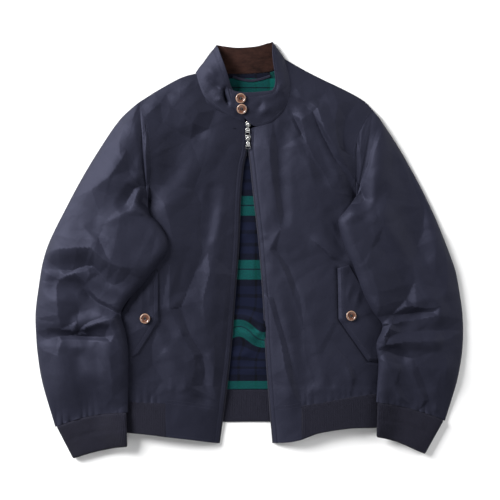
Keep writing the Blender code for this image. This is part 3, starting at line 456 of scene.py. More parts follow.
def rib_band(name, seam, end, low, node):
    """Band between a seam line and the hem's end, with its ribs raised on its upper side."""
    length = steps_of(seam).sum()
    columns, rows = int(length / 0.8), 14
    u, v = np.linspace(0, 1, columns), np.linspace(0, 1, rows)
    plan = patch_between(seam, end, np.array([seam[0], end[0]]), np.array([seam[-1], end[-1]]),
                         u, v)
    plan = pulled_in(plan, 0.6)
    ends = np.minimum(v, 1 - v)[:, None] * rows
    height = low(*xy(plan)) + ribs_up(u * length) * ease(ends / 1.5)
    grain = even_grain(u * length, v * HEM_DEPTH)
    band = add_wall(name, raised(plan, height), KNIT - RIB_RELIEF, rib_knit, grain=grain)
    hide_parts(node)
    return band


rib_band("hem_band_back", smooth_line(BACK_HEM_SEAM, 6), smooth_line(BACK_HEM, 6),
         lambda x, y: np.full(np.shape(x), RIB_RELIEF), "hem_rib_back")


# ============================================================ lining
# Brushed cotton in a green, navy and black tartan, sewn to the back neck and the hem seam.
# It lies on the back between the fronts, and is bunched into a swirl near the hem.
LINING = 1.2
LIES = SHELL + SEAM       # height of what lies on the back panel
GREEN, NAVY, BLACK = (0.002, 0.070, 0.060), (0.0055, 0.0068, 0.018), (0.003, 0.003, 0.005)
WARP = ((0.0, GREEN), (0.17, BLACK), (0.20, NAVY), (0.33, BLACK), (0.37, NAVY), (0.60, BLACK),
        (0.64, NAVY), (0.80, BLACK), (0.84, GREEN))
WEFT = ((0.0, GREEN), (0.036, BLACK), (0.054, GREEN), (0.19, BLACK), (0.29, NAVY), (0.40, BLACK),
        (0.46, NAVY), (0.60, BLACK), (0.66, NAVY), (0.78, BLACK), (0.885, GREEN))
TARTAN_REPEAT = 114.0
WARP_SHIFT = 0.513        # shares of a repeat that centre the sett on the jacket's middle
WEFT_SHIFT = 0.336
NECK_SHIFT = 18.0         # the sett sits this much higher in the back neck
HEM_SHIFT = 12.0          # and this much lower where the lining is eased over the hem
SWIRL = (6, -146)         # where the lining is bunched, which bends the lines of its sett
CRISP = 1.35              # gain on the rise of every crease
Crease = namedtuple("Crease", "rise left right peak path")
LINING_CREASES = (
    Crease(7.0, 7, 9, 0.5, ((-34, -112), (-8, -118), (14, -126), (22, -138), (12, -150),
                            (-6, -154))),
    Crease(3.6, 6, 8, 0.5, ((-30, -140), (-8, -146), (8, -160), (6, -176))),
    Crease(3.0, 7, 8, 0.5, ((44, -110), (30, -132), (28, -156), (34, -182))),
    Crease(2.4, 7, 8, 0.5, ((-40, -178), (-16, -186), (14, -178))),
    Crease(1.6, 9, 9, 0.5, ((-22, 20), (4, 34), (26, 28))),
    Crease(1.5, 9, 9, 0.5, ((2, 60), (8, -20), (2, -90))),
    Crease(1.6, 8, 8, 0.5, ((-20, -206), (6, -214), (40, -206))),
)


def nearest(line, x, y):
    """Stretch of a line nearest to each (x, y): its number, the share along it, the distance.

    The last value tells whether the point lies to the left of that stretch.
    """
    line = np.asarray(line, float)
    start, run = line[:-1], np.diff(line, axis=0)
    dx, dy = np.ravel(x)[:, None] - start[:, 0], np.ravel(y)[:, None] - start[:, 1]
    length = np.maximum((run ** 2).sum(1), 1e-9)
    along = np.clip((dx * run[:, 0] + dy * run[:, 1]) / length, 0, 1)
    far = np.hypot(dx - along * run[:, 0], dy - along * run[:, 1])
    best = far.argmin(1)
    pick = (np.arange(len(best)), best)
    return best, along[pick], far[pick], run[best, 0] * dy[pick] > run[best, 1] * dx[pick]


def distance(line, x, y, step=None):
    """Distance from each (x, y) to a line, which is first smoothed where a step is given."""
    line = smooth_line(line, step) if step else line
    return nearest(line, x, y)[2].reshape(np.shape(x))


def unevenness(x, y, size, seed):
    """Soft random field: random numbers on a lattice of the given size, blended smoothly."""
    table = np.random.RandomState(seed).uniform(-1, 1, (61, 61))
    gx, gy = np.asarray(x) / size + 600, np.asarray(y) / size + 600
    i, j = np.floor(gx).astype(int), np.floor(gy).astype(int)
    u, v = ease(gx - i), ease(gy - j)
    near, far = table[i % 61, j % 61], table[(i + 1) % 61, j % 61]
    up, beyond = table[i % 61, (j + 1) % 61], table[(i + 1) % 61, (j + 1) % 61]
    return (near * (1 - u) + far * u) * (1 - v) + (up * (1 - u) + beyond * u) * v


def creased(creases, x, y):
    """Sum of creases, each rise * fade * (1 - d / (2.2 * width)) ** 2 at distance d.

    The width differs on the line's left and right, d is rounded by 1.3 mm at the crest, and
    fade is 0 at the line's ends and 1 at its peak, given as a share of its length.
    """
    shape = np.shape(x)
    x, y = np.ravel(x), np.ravel(y)
    total = np.zeros(len(x))
    for crease in creases:
        line = smooth_line(crease.path, 6)
        reach = 3 * max(crease.left, crease.right)
        near = ((x > line[:, 0].min() - reach) & (x < line[:, 0].max() + reach)
                & (y > line[:, 1].min() - reach) & (y < line[:, 1].max() + reach))
        stretch, along, far, left = nearest(line, x[near], y[near])
        width = np.where(left, crease.left, crease.right)
        share = (stretch + along) / (len(line) - 1)
        fade = ease(share / crease.peak) * ease((1 - share) / (1 - crease.peak))
        soft = np.sqrt(far ** 2 + 1.7) - 1.3
        total[near] += CRISP * crease.rise * fade * (1 - soft.clip(0) / width / 2.2).clip(0) ** 2
    return total.reshape(shape)


def tartan(name, repeat):
    """Tartan: a run of stripes along the warp and one along the weft, in a diagonal twill.

    Each run is a constant colour ramp over the fraction of the grain coordinate over repeat,
    and the twill shows warp or weft by the sine of the sum of both coordinates.
    """
    cloth = Finish(name, (0.02, 0.03, 0.05), 0.9, 0.0, 0.04, 0.08)
    across, along = cloth.axes()
    runs = []
    for axis, shift, stripes in ((across, WARP_SHIFT, WARP), (along, WEFT_SHIFT, WEFT)):
        share = cloth.math("FRACT", cloth.math("MULTIPLY_ADD", axis, 1 / (repeat * MM), shift))
        ramp = cloth.add("ValToRGB", {}, share).node
        ramp.color_ramp.interpolation = "CONSTANT"
        bands = ramp.color_ramp.elements
        for number, (start, colour) in enumerate(stripes):
            band = bands[number] if number < 2 else bands.new(start)
            band.position, band.color = start, (*colour, 1)
        runs.append(ramp.outputs[0])
    twill = cloth.wave(cloth.math("ADD", across, along), 2 * math.pi * 700)
    shown = cloth.range(twill, From_Min=-0.5, From_Max=0.9)
    cloth.link(cloth.shader["Base Color"], cloth.mix(shown, runs[1], runs[0]))
    cloth.dent((cloth.noise(300.0, 4.0, 0.7), 0.4, 0.0006), (twill, 0.25, 0.0002))
    return cloth.made


lining_cloth = tartan("tartan_lining", TARTAN_REPEAT)

lining_top = smooth_line(BACK_NECK[1:5], 4)
lining_right = smooth_line((lining_top[0], (-62, 200), (-66, 0), (-80, -247.6)), 5)
lining_left = smooth_line((lining_top[-1], (58, 300), (62, 200), (66, 0), (80, -246.8)), 5)
lining_hem = np.array([lining_right[-1], lining_left[-1]])
lining_plan = patch_between(lining_top, even_line(lining_hem, 40), lining_right, lining_left,
                            np.linspace(0, 1, 66), np.linspace(0, 1, 240))
lining_plan = pulled_in(lining_plan, 0.8)
px, py = xy(lining_plan)
lining_edge = np.minimum(distance(lining_top, px, py), distance(lining_hem, px, py))
lining_height = LIES + 0.1 + ((creased(LINING_CREASES, px, py)
                               + 0.5 * (1 + unevenness(px, py, 26, 3))) * ease(lining_edge / 18))
swirl_x, swirl_y = px - SWIRL[0], py - SWIRL[1]
bunched = np.exp(-(swirl_x / 42) ** 2 - (swirl_y / 34) ** 2)
lining_grain = np.stack([px + 16 * bunched * np.sin(swirl_y / 17),
                         py + 20 * bunched * np.sin((swirl_x + 2) / 20)
                         + NECK_SHIFT * ease((py - 190) / 60)
                         - HEM_SHIFT * ease((-190 - py) / 30)], axis=2)
lining = add_wall("lining", raised(lining_plan, lining_height), LINING, lining_cloth,
                  grain=lining_grain)
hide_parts("back_lining")


# ============================================================ hem ribs of the fronts
# The rest of the doubled knit hem, sewn under each front from the side to its plain end.  Their
# height is that of the front, which rises over the body's hollow and is low at the zip.
BODY_LOFT = 16.0          # rise of a front over the body's hollow
BODY_EASE = 36.0          # and the distance from its seams over which it rises
FRONT_EDGE_LIFT = 7.0     # height of the zip edge
HEM_EDGE_LIFT = 3.4       # and at its lower end
EDGE_EASE = 26.0
FOLD_CALM = 30.0          # the broad folds fade over this near the zip and the armhole
Fold = namedtuple("Fold", "half_width rise path")
BODY_FOLDS = {
    "right": (
        Fold(26, -5, ((-150, 258), (-110, 240), (-92, 218))),
        Fold(30, 4, ((-64, 190), (-92, 140), (-150, 82))),
        Fold(34, -4, ((-128, 190), (-140, 140))),
        Fold(20, -4, ((-62, 108), (-74, 28))),
        Fold(24, 3, ((-44, 60), (-60, -20), (-62, -110))),
        Fold(24, -5, ((-148, -122), (-132, -158), (-90, -186), (-78, -262))),
        Fold(28, 4, ((-120, -100), (-90, -150), (-60, -200))),
        Fold(22, 3, ((-140, -190), (-110, -255))),
    ),
    "left": (
        Fold(22, -4, ((64, 248), (94, 212), (138, 132))),
        Fold(20, -3, ((66, 216), (56, 160), (60, 55))),
        Fold(26, 4, ((98, 240), (140, 150), (176, 100))),
        Fold(22, 5, ((122, 250), (154, 165), (186, 108))),
        Fold(24, -4, ((46, -8), (92, -140), (110, -230))),
        Fold(26, 3, ((60, -60), (70, -180), (66, -280))),
        Fold(24, 3, ((125, 10), (172, -22))),
        Fold(24, -3, ((150, 60), (162, -10))),
    ),
}


def folds_at(folds, x, y):
    """Sum of the broad folds: each is rise * (1 - (d / half_width) ** 2) ** 2."""
    return sum(fold.rise * np.clip(1 - (distance(fold.path, x, y) / fold.half_width) ** 2, 0,
                                   None) ** 2 for fold in folds)


def rest_height(y):
    """Underside of a front where it lies on the back panel or, lower down, on the back rib."""
    return SHELL + SEAM + (KNIT - SHELL) * ease((-238 - y) / 10)


def zip_edge_height(y):
    """Underside of a front along its zip edge, lower towards the hem."""
    return FRONT_EDGE_LIFT - (FRONT_EDGE_LIFT - HEM_EDGE_LIFT) * ease((-230 - y) / 110)


def front_height(side, x, y):
    """Underside of a front: flat on the back at the side, lofted between, low at the zip."""
    lines = SIDES[side]
    beside = np.vstack([smooth_line(lines.underarm, 8), smooth_line(lines.side_seam, 12),
                        lines.hem[:1]])
    seat = np.minimum(distance(lines.shoulder, x, y, 8), distance(beside, x, y))
    edge = distance(lines.centre, x, y, 12)
    armhole = distance(lines.armhole, x, y, 12)
    loft = rest_height(y) + BODY_LOFT * (1 - np.exp(-seat / BODY_EASE))
    calm = ((1 - np.exp(-seat / 18)) * ease((edge - 6) / FOLD_CALM)
            * ease((armhole - 3) / FOLD_CALM))
    loft = loft + folds_at(BODY_FOLDS[side], x, y) * calm
    lift = zip_edge_height(y)
    return lift + (loft - lift) * (1 - np.exp(-edge / EDGE_EASE))


for side, lines in SIDES.items():
    rib_band(f"hem_band_{side}", smooth_line(lines.hem_seam, 6), smooth_line(lines.hem, 6),
             lambda x, y, side=side: front_height(side, x, y) + RIB_RELIEF,
             f"hem_rib_{side}")


# ============================================================ fronts
# Two panels of shell cloth from shoulder to hem, gathered into the hem rib at the side and
# running plain to the hem beside the zip.  The zip edges are turned in and topstitched.
GATHER_PITCH = 14.0
GATHER_RISE = 1.5
GATHER_SEEDS = {"right": 21, "left": 24}
FRONT_GRID = (104, 232, 28)    # columns, rows, and rows of the plain end beside the rib
SOFT_RISE, FINE_RISE, FLAT_RISE = 0.5, 0.25, 1.6
Rumple = namedtuple("Rumple", "soft fine flat seed along stretch")   # sizes of its crumples
FRONT_RUMPLE = Rumple(34, 15, 42, 11, (0.3, 1.0), 1.6)
FRONT_HEM = {
    "right": ((-148, -331), (-105, -336), (-55, -343)),
    "left": ((93.5, -336), (73, -340.5), (44.5, -343)),
}
FLAPS = {
    "right": ((-176, -26), (-162, -38), (-162, -124), (-198, -182), (-222, -196), (-256, -160)),
    "left": ((178, -26), (158, -32), (160, -122), (212, -196), (232, -198), (252, -160)),
}
STITCH_IN = 7.0           # distance of the topstitching from an edge
RELIEF = 1.25             # gain on the height of the facets
STEEPEST = 0.6            # slope that a facet is shaded with at most
PEAK_REACH = 58           # width of the rise of the armhole's seam
FACET_SHARE = 0.8         # how far the shading keeps to the flat facets
LEAN = {"right": -0.11, "left": -0.02}     # slope that the shading leans to the side by
FRONT_CREASES = {
    "right": (
        Crease(1.6, 10, 9, 0.5, ((-112, -127), (-101, -168), (-66, -198), (-62, -251))),
        Crease(1.4, 8, 8, 0.5, ((-37, -31), (-44, -120), (-41, -216))),
        Crease(1.0, 5, 4, 0.7, ((-48, 28), (-34, 30), (-18, 30))),
        Crease(-1.2, 6, 6, 0.5, ((-158, 268), (-137, 283), (-112, 283))),
        Crease(1.3, 6, 8, 0.4, ((-130, -31), (-141, -73), (-153, -98))),
        Crease(-1.3, 7, 7, 0.5, ((-110, 1), (-123, -52), (-117, -98))),
        Crease(1.2, 5, 6, 0.7, ((-144, -216), (-137, -241), (-141, -255))),
        Crease(1.2, 5, 6, 0.7, ((-116, -216), (-112, -237), (-116, -251))),
        Crease(1.6, 6, 10, 0.4, ((-94, 311), (-112, 290), (-130, 283))),
    ),
    "left": (
        Crease(-1.6, 8, 9, 0.5, ((34, -70), (55, -159), (69, -251))),
        Crease(-1.6, 6, 6, 0.7, ((137, -209), (144, -230), (151, -248))),
        Crease(1.6, 5, 6, 0.6, ((166, -191), (180, -219), (183, -244))),
        Crease(1.0, 4, 5, 0.35, ((14, 28), (34, 26), (53, 23))),
        Crease(1.4, 7, 7, 0.4, ((75, 299), (91, 277), (101, 261))),
        Crease(-1.6, 8, 8, 0.5, ((112, 283), (123, 265), (130, 247))),
        Crease(1.4, 6, 7, 0.5, ((139, 62), (150, 40), (162, 19))),
        Crease(1.6, 8, 9, 0.4, ((101, 197), (110, 144), (123, 90))),
    ),
}


def crowded(count, start, end):
    """Shares from 0 to 1, blended from even ones and (1 - cos) ones, closer at the chosen ends."""
    t = np.linspace(0, 1, count)
    both = 0.5 - 0.5 * np.cos(math.pi * t)
    first, last = 1 - np.cos(0.5 * math.pi * t), np.sin(0.5 * math.pi * t)
    return (t * (1 - max(start, end)) + min(start, end) * both
            + (start - min(start, end)) * first + (end - min(start, end)) * last)


def facets(x, y, size, seed, along=(0.0, 1.0), stretch=1.0):
    """Crumples with flat sides: half the gap between the two nearest of some scattered points.

    The points are a shifted lattice of the given size, drawn out along a direction by stretch.
    """
    x, y = np.asarray(x), np.asarray(y)
    length = math.hypot(*along)
    ax, ay = along[0] / length, along[1] / length
    gx, gy = (x * ay - y * ax) / size + 600, (x * ax + y * ay) / size / stretch + 600
    shifts = np.random.RandomState(seed).uniform(0.05, 0.95, (61, 61, 2))
    i, j = np.floor(gx).astype(int), np.floor(gy).astype(int)
    far = []
    for di in (-1, 0, 1):
        for dj in (-1, 0, 1):
            spot = shifts[(i + di) % 61, (j + dj) % 61]
            far.append(np.hypot(i + di + spot[..., 0] - gx, (j + dj + spot[..., 1] - gy) * stretch))
    far = np.sort(np.array(far), axis=0)
    return np.minimum((far[1] - far[0]) / 2, 0.35)


def facet_net(rim, lines, side):
    """Flat facets: the triangles of a constrained Delaunay net through ridges and troughs.

    The lines are (x, y, z).  The rim is at 0, but along the armhole it rises by a Gaussian
    round ARMHOLE_PEAK.  The net comes as the triangles' corners in plan, shape
    (3, count, 2), and their heights, shape (3, count).
    """
    x, y, rise = ARMHOLE_PEAK[side]
    along = np.exp(-(np.hypot(rim[:, 0] - x, rim[:, 1] - y) / PEAK_REACH) ** 2)
    lift = rise * along * (distance(SIDES[side].armhole, *xy(rim), 6) < 1.5)
    spots = [(*point, level) for point, level in zip(rim, lift)]
    ties = [(k, k + 1) for k in range(len(spots) - 1)] + [(len(spots) - 1, 0)]
    for line in lines:
        ties += [(len(spots) + k, len(spots) + k + 1) for k in range(len(line) - 1)]
        spots += line
    net = delaunay_2d_cdt([Vector(spot[:2]) for spot in spots], ties, [], 0, 0.01)
    plan = np.array([tuple(corner) for corner in net[0]])
    level = np.array([spots[found[0]][2] if found else 0.0 for found in net[3]])
    corners = np.array(net[2]).T
    return plan[corners], level[corners]


def net_height(net, x, y):
    """Height and slopes of a net at (x, y), as one array with a last axis of three.

    The height is that of the triangle's corners weighted by their opposite areas, and the
    slopes are those of its two edges u and v.
    """
    (a, b, c), level = net
    (ux, uy), (vx, vy) = (b - a).T, (c - a).T
    up_u, up_v = level[1] - level[0], level[2] - level[0]
    whole = ux * vy - vx * uy
    slope = np.stack([up_u * vy - up_v * uy, up_v * ux - up_u * vx]) / whole
    spots, made = np.column_stack([np.ravel(x), np.ravel(y)]), []
    for part in range(0, len(spots), 8000):
        dx, dy = (spots[part:part + 8000, None] - a).transpose(2, 0, 1)
        second, third = (dx * vy - vx * dy) / whole, (ux * dy - dx * uy) / whole
        least = np.minimum(np.minimum(second, third), 1 - second - third)
        pick = (np.arange(len(dx)), least.argmax(1))
        height = (level[0] + second * up_u + third * up_v)[pick]
        found = np.column_stack([height, slope[:, pick[1]].T.clip(-STEEPEST, STEEPEST)])
        made.append(np.where(least[pick][:, None] > -0.02, found, 0.0))
    return np.concatenate(made).reshape(*np.shape(x), 3)


def rumpled(height, rumple, x, y, free):
    """Height with small crumples: two soft random fields, then facets, times free."""
    soft = (SOFT_RISE * unevenness(x, y, rumple.soft, rumple.seed)
            + FINE_RISE * unevenness(x, y, rumple.fine, rumple.seed + 1))
    flat = facets(x, y, rumple.flat, rumple.seed + 2, rumple.along, rumple.stretch)
    return height + soft * free + FLAT_RISE * flat * free


def slopes_of(plan, height):
    """Slopes dz/dx and dz/dy of a laid grid, from its normals."""
    normal = normals_of(raised(plan, height))
    return -normal[..., :2] / np.where(np.abs(normal[..., 2:]) > 0.1, normal[..., 2:], 1.0)


def softened(height):
    """Grid smoothed once by the weights 1, 4, 1 along both axes."""
    height = height.copy()
    height[1:-1] = (height[:-2] + 4 * height[1:-1] + height[2:]) / 6
    height[:, 1:-1] = (height[:, :-2] + 4 * height[:, 1:-1] + height[:, 2:]) / 6
    return height


def gathers_at(seam, x, y, seed):
    """Gathers above a rib: uneven waves along the seam that die away over uneven lengths."""
    phase = 2 * math.pi * (x + 5 * unevenness(x, 0 * x, 23, seed)) / GATHER_PITCH
    length = 10 + 6 * unevenness(x, 0 * x, 17, seed + 1)
    strength = 0.9 + 0.7 * unevenness(x, 0 * x, 31, seed + 2)
    sharp = np.abs(np.cos(phase / 2)) ** 0.8 * 2 - 1.1
    return GATHER_RISE * strength * sharp * np.exp(-distance(seam, x, y) / length)


def stitch_groove(edge, depth):
    """Groove that topstitching draws in, a Gaussian at its distance from the edge."""
    return depth * np.exp(-((edge - STITCH_IN) / 1.3) ** 2)


FRONT_FACETS = {
    "right": [
        ((-148, 279, 2), (-123, 272, 4), (-100, 258, 4), (-89, 245, 3)),
        ((-158, 263, 5.5), (-137, 254, 6), (-116, 243, 6), (-100, 227, 5)),
        ((-153, 226, -0.5), (-132, 215, -2), (-105, 199, -4)),
        ((-75, 263, -1.5), (-59, 251, -2)),
        ((-150, 81, 4.5), (-141, 51, 4), (-135, 19, 3), (-141, -20, 2)),
        ((-71, 218, -3.4), (-75, 179, -5), (-85, 144, -6), (-98, 110, -6), (-85, 85, -5.4),
         (-87, 37, -4.8), (-82, -2, -4.4), (-96, -38, -4.2), (-110, -73, -4), (-121, -98, -4)),
        ((-36, 81, -1), (-46, 44, -2.4), (-53, 17, -3), (-64, -9, -3)),
        ((-44, 85, -1.8), (-55, 46, -2.4), (-62, 19, -3), (-73, -6, -3.6)),
        ((-69, -38, 2.5), (-82, -88, 2.5), (-77, -132, 2.5), (-62, -168, 2)),
        ((-126, -102, -3.5), (-105, -150, -3.6), (-82, -187, -3), (-78, -212, -2),
         (-82, -241, -1.4)),
        ((-141, -105, 1.5), (-119, -152, 3.8), (-98, -184, 3.8), (-96, -209, 3.2),
         (-105, -241, 2)),
        ((-158, -120, -2.5), (-173, -168, -4.5), (-171, -203, -4.5), (-153, -230, -2.5)),
        ((-214, -150, 2), (-210, -194, 2.5), (-206, -234, 1.5)),
        ((-148, -244, -1), (-126, -253, -0.6)),
        ((-44, -127, -0.6), (-43, -177, -1.2), (-50, -239, -1.4), (-55, -269, -0.8)),
        ((-30, -141, 0.4), (-32, -186, 0.5), (-37, -239, 0.5)),
        ((-62, -150, 1.2), (-61, -194, 1.4), (-64, -239, 1)),
    ],
    "left": [
        ((30, 226, 2.6), (36, 179, 3), (41, 126, 3), (48, 81, 2.6), (57, 42, 1.4)),
        ((43, 229, -1.2), (50, 179, -2.3), (53, 117, -2.3), (61, 64, -1.3)),
        ((68, 245, 0.6), (77, 231, 1.1), (89, 202, 1.4)),
        ((77, 245, -0.3), (84, 231, -0.8), (94, 208, -0.6)),
        ((93, 233, 3), (103, 192, 4), (117, 162, 4), (137, 133, 4), (150, 105, 3), (155, 73, 1.5)),
        ((114, 247, -2), (130, 208, -3.2), (150, 169, -3.4), (169, 137, -2.6), (183, 112, -1.4)),
        ((121, 254, 3), (135, 215, 5), (157, 176, 5), (176, 146, 3.6), (189, 122, 1.6)),
        ((158, 261, 4.5), (153, 229, 5.5), (155, 197, 5.5), (162, 178, 4.5)),
        ((171, 236, -0.5), (166, 206, -0.5), (167, 181, 0)),
        ((130, 7, 2), (146, -8, 2.5), (167, -16, 2)),
        ((132, 0, -1), (146, -16, -1.5), (164, -24, -1)),
        ((37, 1, 3), (57, -24, 3.5), (69, -52, 3), (80, -84, 1.5)),
        ((48, 0, 0), (69, -27, -2), (80, -54, -2), (91, -82, -0.5)),
        ((34, -84, 2), (44, -120, 2.5), (57, -164, 3.5), (64, -209, 4), (78, -253, 2.5)),
        ((44, -84, -0.5), (55, -123, -2), (68, -168, -3.2), (77, -212, -4), (89, -253, -2)),
        ((101, -81, 0.5), (98, -141, 0.5), (101, -191, 0.5), (116, -239, 0.3)),
        ((150, -127, 0.4), (137, -150, 0.7), (125, -175, 0.5)),
        ((155, -134, -0.8), (144, -157, -0.8), (132, -180, -0.4)),
        ((123, 64, 1.5), (112, 19, 1.5)),
        ((171, -198, 1), (183, -227, 1.5)),
        ((178, -198, -1), (190, -227, -1)),
    ],
}
ARMHOLE_PEAK = {"right": (-179, 188, 5.5), "left": (190, 185, 1.0)}   # x, y and rise
FURROW = {"right": 0.1, "left": 4.2}      # depth of the furrow pressed round a flap
FRONT_RELIEF = {}
for side, lines in SIDES.items():
    rim = np.vstack([smooth_line(lines.shoulder, 30), side_line(side, 60), lines.hem_seam,
                     smooth_line(lines.centre, 30)[::-1], smooth_line(lines.neck, 20)[::-1]])
    FRONT_RELIEF[side] = facet_net(rim, FRONT_FACETS[side], side)


def dressed_front(side, x, y, facets_too=True):
    """Inner side of a front: its broad form, creases, unevenness, gathers and stitched edge.

    Without facets_too the relief of its net is left out, and the smooth part is given.
    """
    lines = SIDES[side]
    edge = distance(lines.centre, x, y, 6)
    beside = np.minimum(distance(lines.shoulder, x, y, 6),
                        distance(side_line(side, 90), x, y))
    base = front_height(side, x, y)
    free = (ease(beside / 26) * ease((edge - 4) / 14)
            * ease(distance(lines.neck, x, y, 6) / 20))
    height = base + creased(FRONT_CREASES[side], x, y) * (0.25 + 0.75 * free)
    if facets_too:
        height += RELIEF * net_height(FRONT_RELIEF[side], x, y)[..., 0]
    height = rumpled(height, FRONT_RUMPLE, x, y, free)
    gathered = ease((base - rest_height(y)) / 6) * ease((np.abs(x) - abs(lines.hem[-1][0])) / 14)
    height += gathers_at(smooth_line(lines.hem_seam, 3), x, y, GATHER_SEEDS[side]) * gathered
    height += 0.45 * ease((STITCH_IN - edge) / 2) - stitch_groove(edge, 0.6)
    height -= FURROW[side] * np.exp(-(distance(FLAPS[side][1:], x, y) / 3.8) ** 2)
    return np.maximum(height, rest_height(y) + 0.2)


for side, lines in SIDES.items():
    seam, hem_line = smooth_line(lines.hem_seam, 3), smooth_line(FRONT_HEM[side], 3)
    centre = smooth_line(lines.centre, 3)
    split = np.abs(centre[:, 1] - (seam[-1, 1] + 2.0)).argmin()
    inner = joined_lines([smooth_line(lines.neck, 3), centre[:split + 1]], 500)
    # One column is moved onto the rib's front end; below it the plain end is a patch of its own.
    columns, rows, tail = FRONT_GRID
    foot = joined_lines([seam, np.array([seam[-1], centre[split]])], columns * 3)
    turn = np.abs(foot - seam[-1]).sum(1).argmin()
    corner = turn / (len(foot) - 1)
    across = crowded(columns, 0.25, 0.55)
    first = np.abs(across - corner).argmin()
    across[:first + 1] *= corner / across[first]
    across[first:] = 1 - (1 - across[first:]) * (1 - corner) / (1 - across[first:].min())
    across[first] = corner
    body = evened(patch_between(smooth_line(lines.shoulder[::-1], 3), foot, side_line(side, 500),
                                inner, across, crowded(rows, 0.3, 0.3)), 40)
    shares = (across[first:] - corner) / (1 - corner)
    end = patch_between(foot[turn:], hem_line, np.array([seam[-1], hem_line[0]]),
                        centre[split:], shares, np.linspace(0, 1, tail + 1))
    below = np.repeat(body[-1:], tail, axis=0)
    below[:, first:] = end[1:]
    plan = pulled_in(np.concatenate([body, below]), 0.4)
    height = softened(dressed_front(side, *xy(plan)))
    crisp = (slopes_of(plan, dressed_front(side, *xy(plan), facets_too=False))
             + RELIEF * net_height(FRONT_RELIEF[side], *xy(plan))[..., 1:])
    seam_far = distance(lines.armhole, *xy(plan), 6)
    neck_far = distance(lines.neck, *xy(plan), 6)
    share = FACET_SHARE * (ease((seam_far - 3) / 8) * ease((neck_far - 5) / 16))[..., None]
    own = slopes_of(plan, height)
    slopes = np.where(np.abs(own) > 0.9, 0.0, own) * (1 - share) + crisp * share
    slopes[..., 0] += LEAN[side]
    front = add_wall(f"{side}_front", raised(plan, height), SHELL, shell_cloth,
                     skipped=(tail, first), slopes=slopes)
    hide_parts(f"front_{side}")


# ============================================================ pocket flaps
# Slanted flaps of doubled shell cloth with a pointed lower end, sewn over the pocket mouths
# along their upper edge, topstitched round the other edges and held by a button.
FLAP_CREASES = {
    "right": (Crease(1.6, 6, 7, 0.5, ((-186, -50), (-176, -76), (-180, -104))),
              Crease(1.3, 5, 6, 0.5, ((-196, -60), (-190, -92), (-192, -118)))),
    "left": (Crease(1.6, 6, 7, 0.5, ((186, -52), (176, -80), (180, -104))),
             Crease(1.3, 5, 6, 0.5, ((200, -62), (190, -92), (188, -110)))),
}


def dressed_flap(side, x, y):
    """Inner side of a flap: on its front, lifted a little towards its free edges."""
    ring = np.array(FLAPS[side], float)
    edge = distance(ring[1:], x, y)
    height = dressed_front(side, x, y) + SHELL + SEAM + 0.3 + 0.7 * ease((20 - edge) / 20)
    return height + creased(FLAP_CREASES[side], x, y) - stitch_groove(edge, 0.3)


for side, ring in FLAPS.items():
    ring = np.array(ring, float)
    top, inner, low, tip, outer, back_edge = (
        smooth_line(ring[[k, (k + 1) % 6]], 2) for k in range(6))
    under = joined_lines([low, tip, outer], 120)
    plan = patch_between(top, under[::-1], back_edge[::-1], inner, np.linspace(0, 1, 60),
                         crowded(110, 0.2, 0.4))
    height = dressed_flap(side, *xy(plan))
    flap = add_wall(f"{side}_pocket_flap", raised(plan, height), SHELL, shell_cloth)
    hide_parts(f"pocket_flap_{side}")


# ============================================================ sleeves
# Two-piece sleeves of shell cloth, brought down over the body's sides and gathered into the
# cuffs.  The under sleeve lies on the floor and over the body, the top sleeve arches over it.
SLEEVE_LOFT = 21.0
SLEEVE_EASES = (95.0, 16.0)   # width of the dome's rise from the outer and the inner edge
CUFF_HOLLOW = 7.5         # inner height of a cuff
CUFF_EASE = 80.0          # a sleeve rises from it over this
ARMHOLE_EASE = {"right": 22.0, "left": 34.0}    # and from the front's height over this
ARMHOLE_TOP = 0.6         # share of the armhole that a sleeve's grid starts from
SLEEVE_SHARE = 0.75       # how far the shading keeps to the flat facets
SLEEVE_RUMPLE = {"right": Rumple(36, 16, 40, 31, (0.4, 1.0), 1.4),
                 "left": Rumple(36, 16, 40, 31, (-0.4, 1.0), 1.4)}
UNDER_GRID, TOP_GRID = (40, 110), (96, 262)     # columns and rows
COVER_HALF = (400, 390)   # half size of the raster of what an under sleeve lies over
COVER_STEP = 5.0          # and its cells
COVER_REACH = 9           # cells that its tent reaches out
COVER_SLOPE = 0.42
COVER_FLAT = 9.0
LAYERS_OVER_FRONT = 3.8   # front wall, flap or rib wall, and their gaps
Sleeve = namedtuple("Sleeve", "outer inner cuff_seam cuff_end")
SLEEVES = {
    "right": Sleeve(
        outer=((-194, 266), (-230, 233), (-267, 179), (-299, 126), (-327.5, 72.5), (-354, 19),
               (-367, -20), (-374, -61), (-380, -110), (-379, -153), (-375.5, -191),
               (-367, -239), (-345, -314)),
        inner=((-181, 90), (-178, 65), (-162, 49), (-146, 22), (-147, -2), (-163, -24),
               (-187, -56), (-217, -89), (-228, -113), (-220, -145), (-215, -180),
               (-215, -235), (-216, -287)),
        cuff_seam=((-345, -314), (-302, -299), (-258, -290), (-216, -287)),
        cuff_end=((-315, -371), (-280, -360), (-248, -353), (-215, -348.5)),
    ),
    "left": Sleeve(
        outer=((221, 250), (238.5, 226), (262, 190), (287, 147), (311.5, 101), (333, 55),
               (351, 10), (367, -34), (374, -70), (380, -114), (381, -159), (377, -198),
               (368.5, -239), (349, -303)),
        inner=((192, 97), (173, 71), (160, 55), (163, 33), (174, 1), (187, -29), (203, -73),
               (219, -104), (238, -134), (227, -166), (231, -198), (229, -237), (227, -269)),
        cuff_seam=((349, -303), (325, -293), (272, -277), (227, -269)),
        cuff_end=((315, -363), (290, -352), (262, -340), (225.5, -331)),
    ),
}
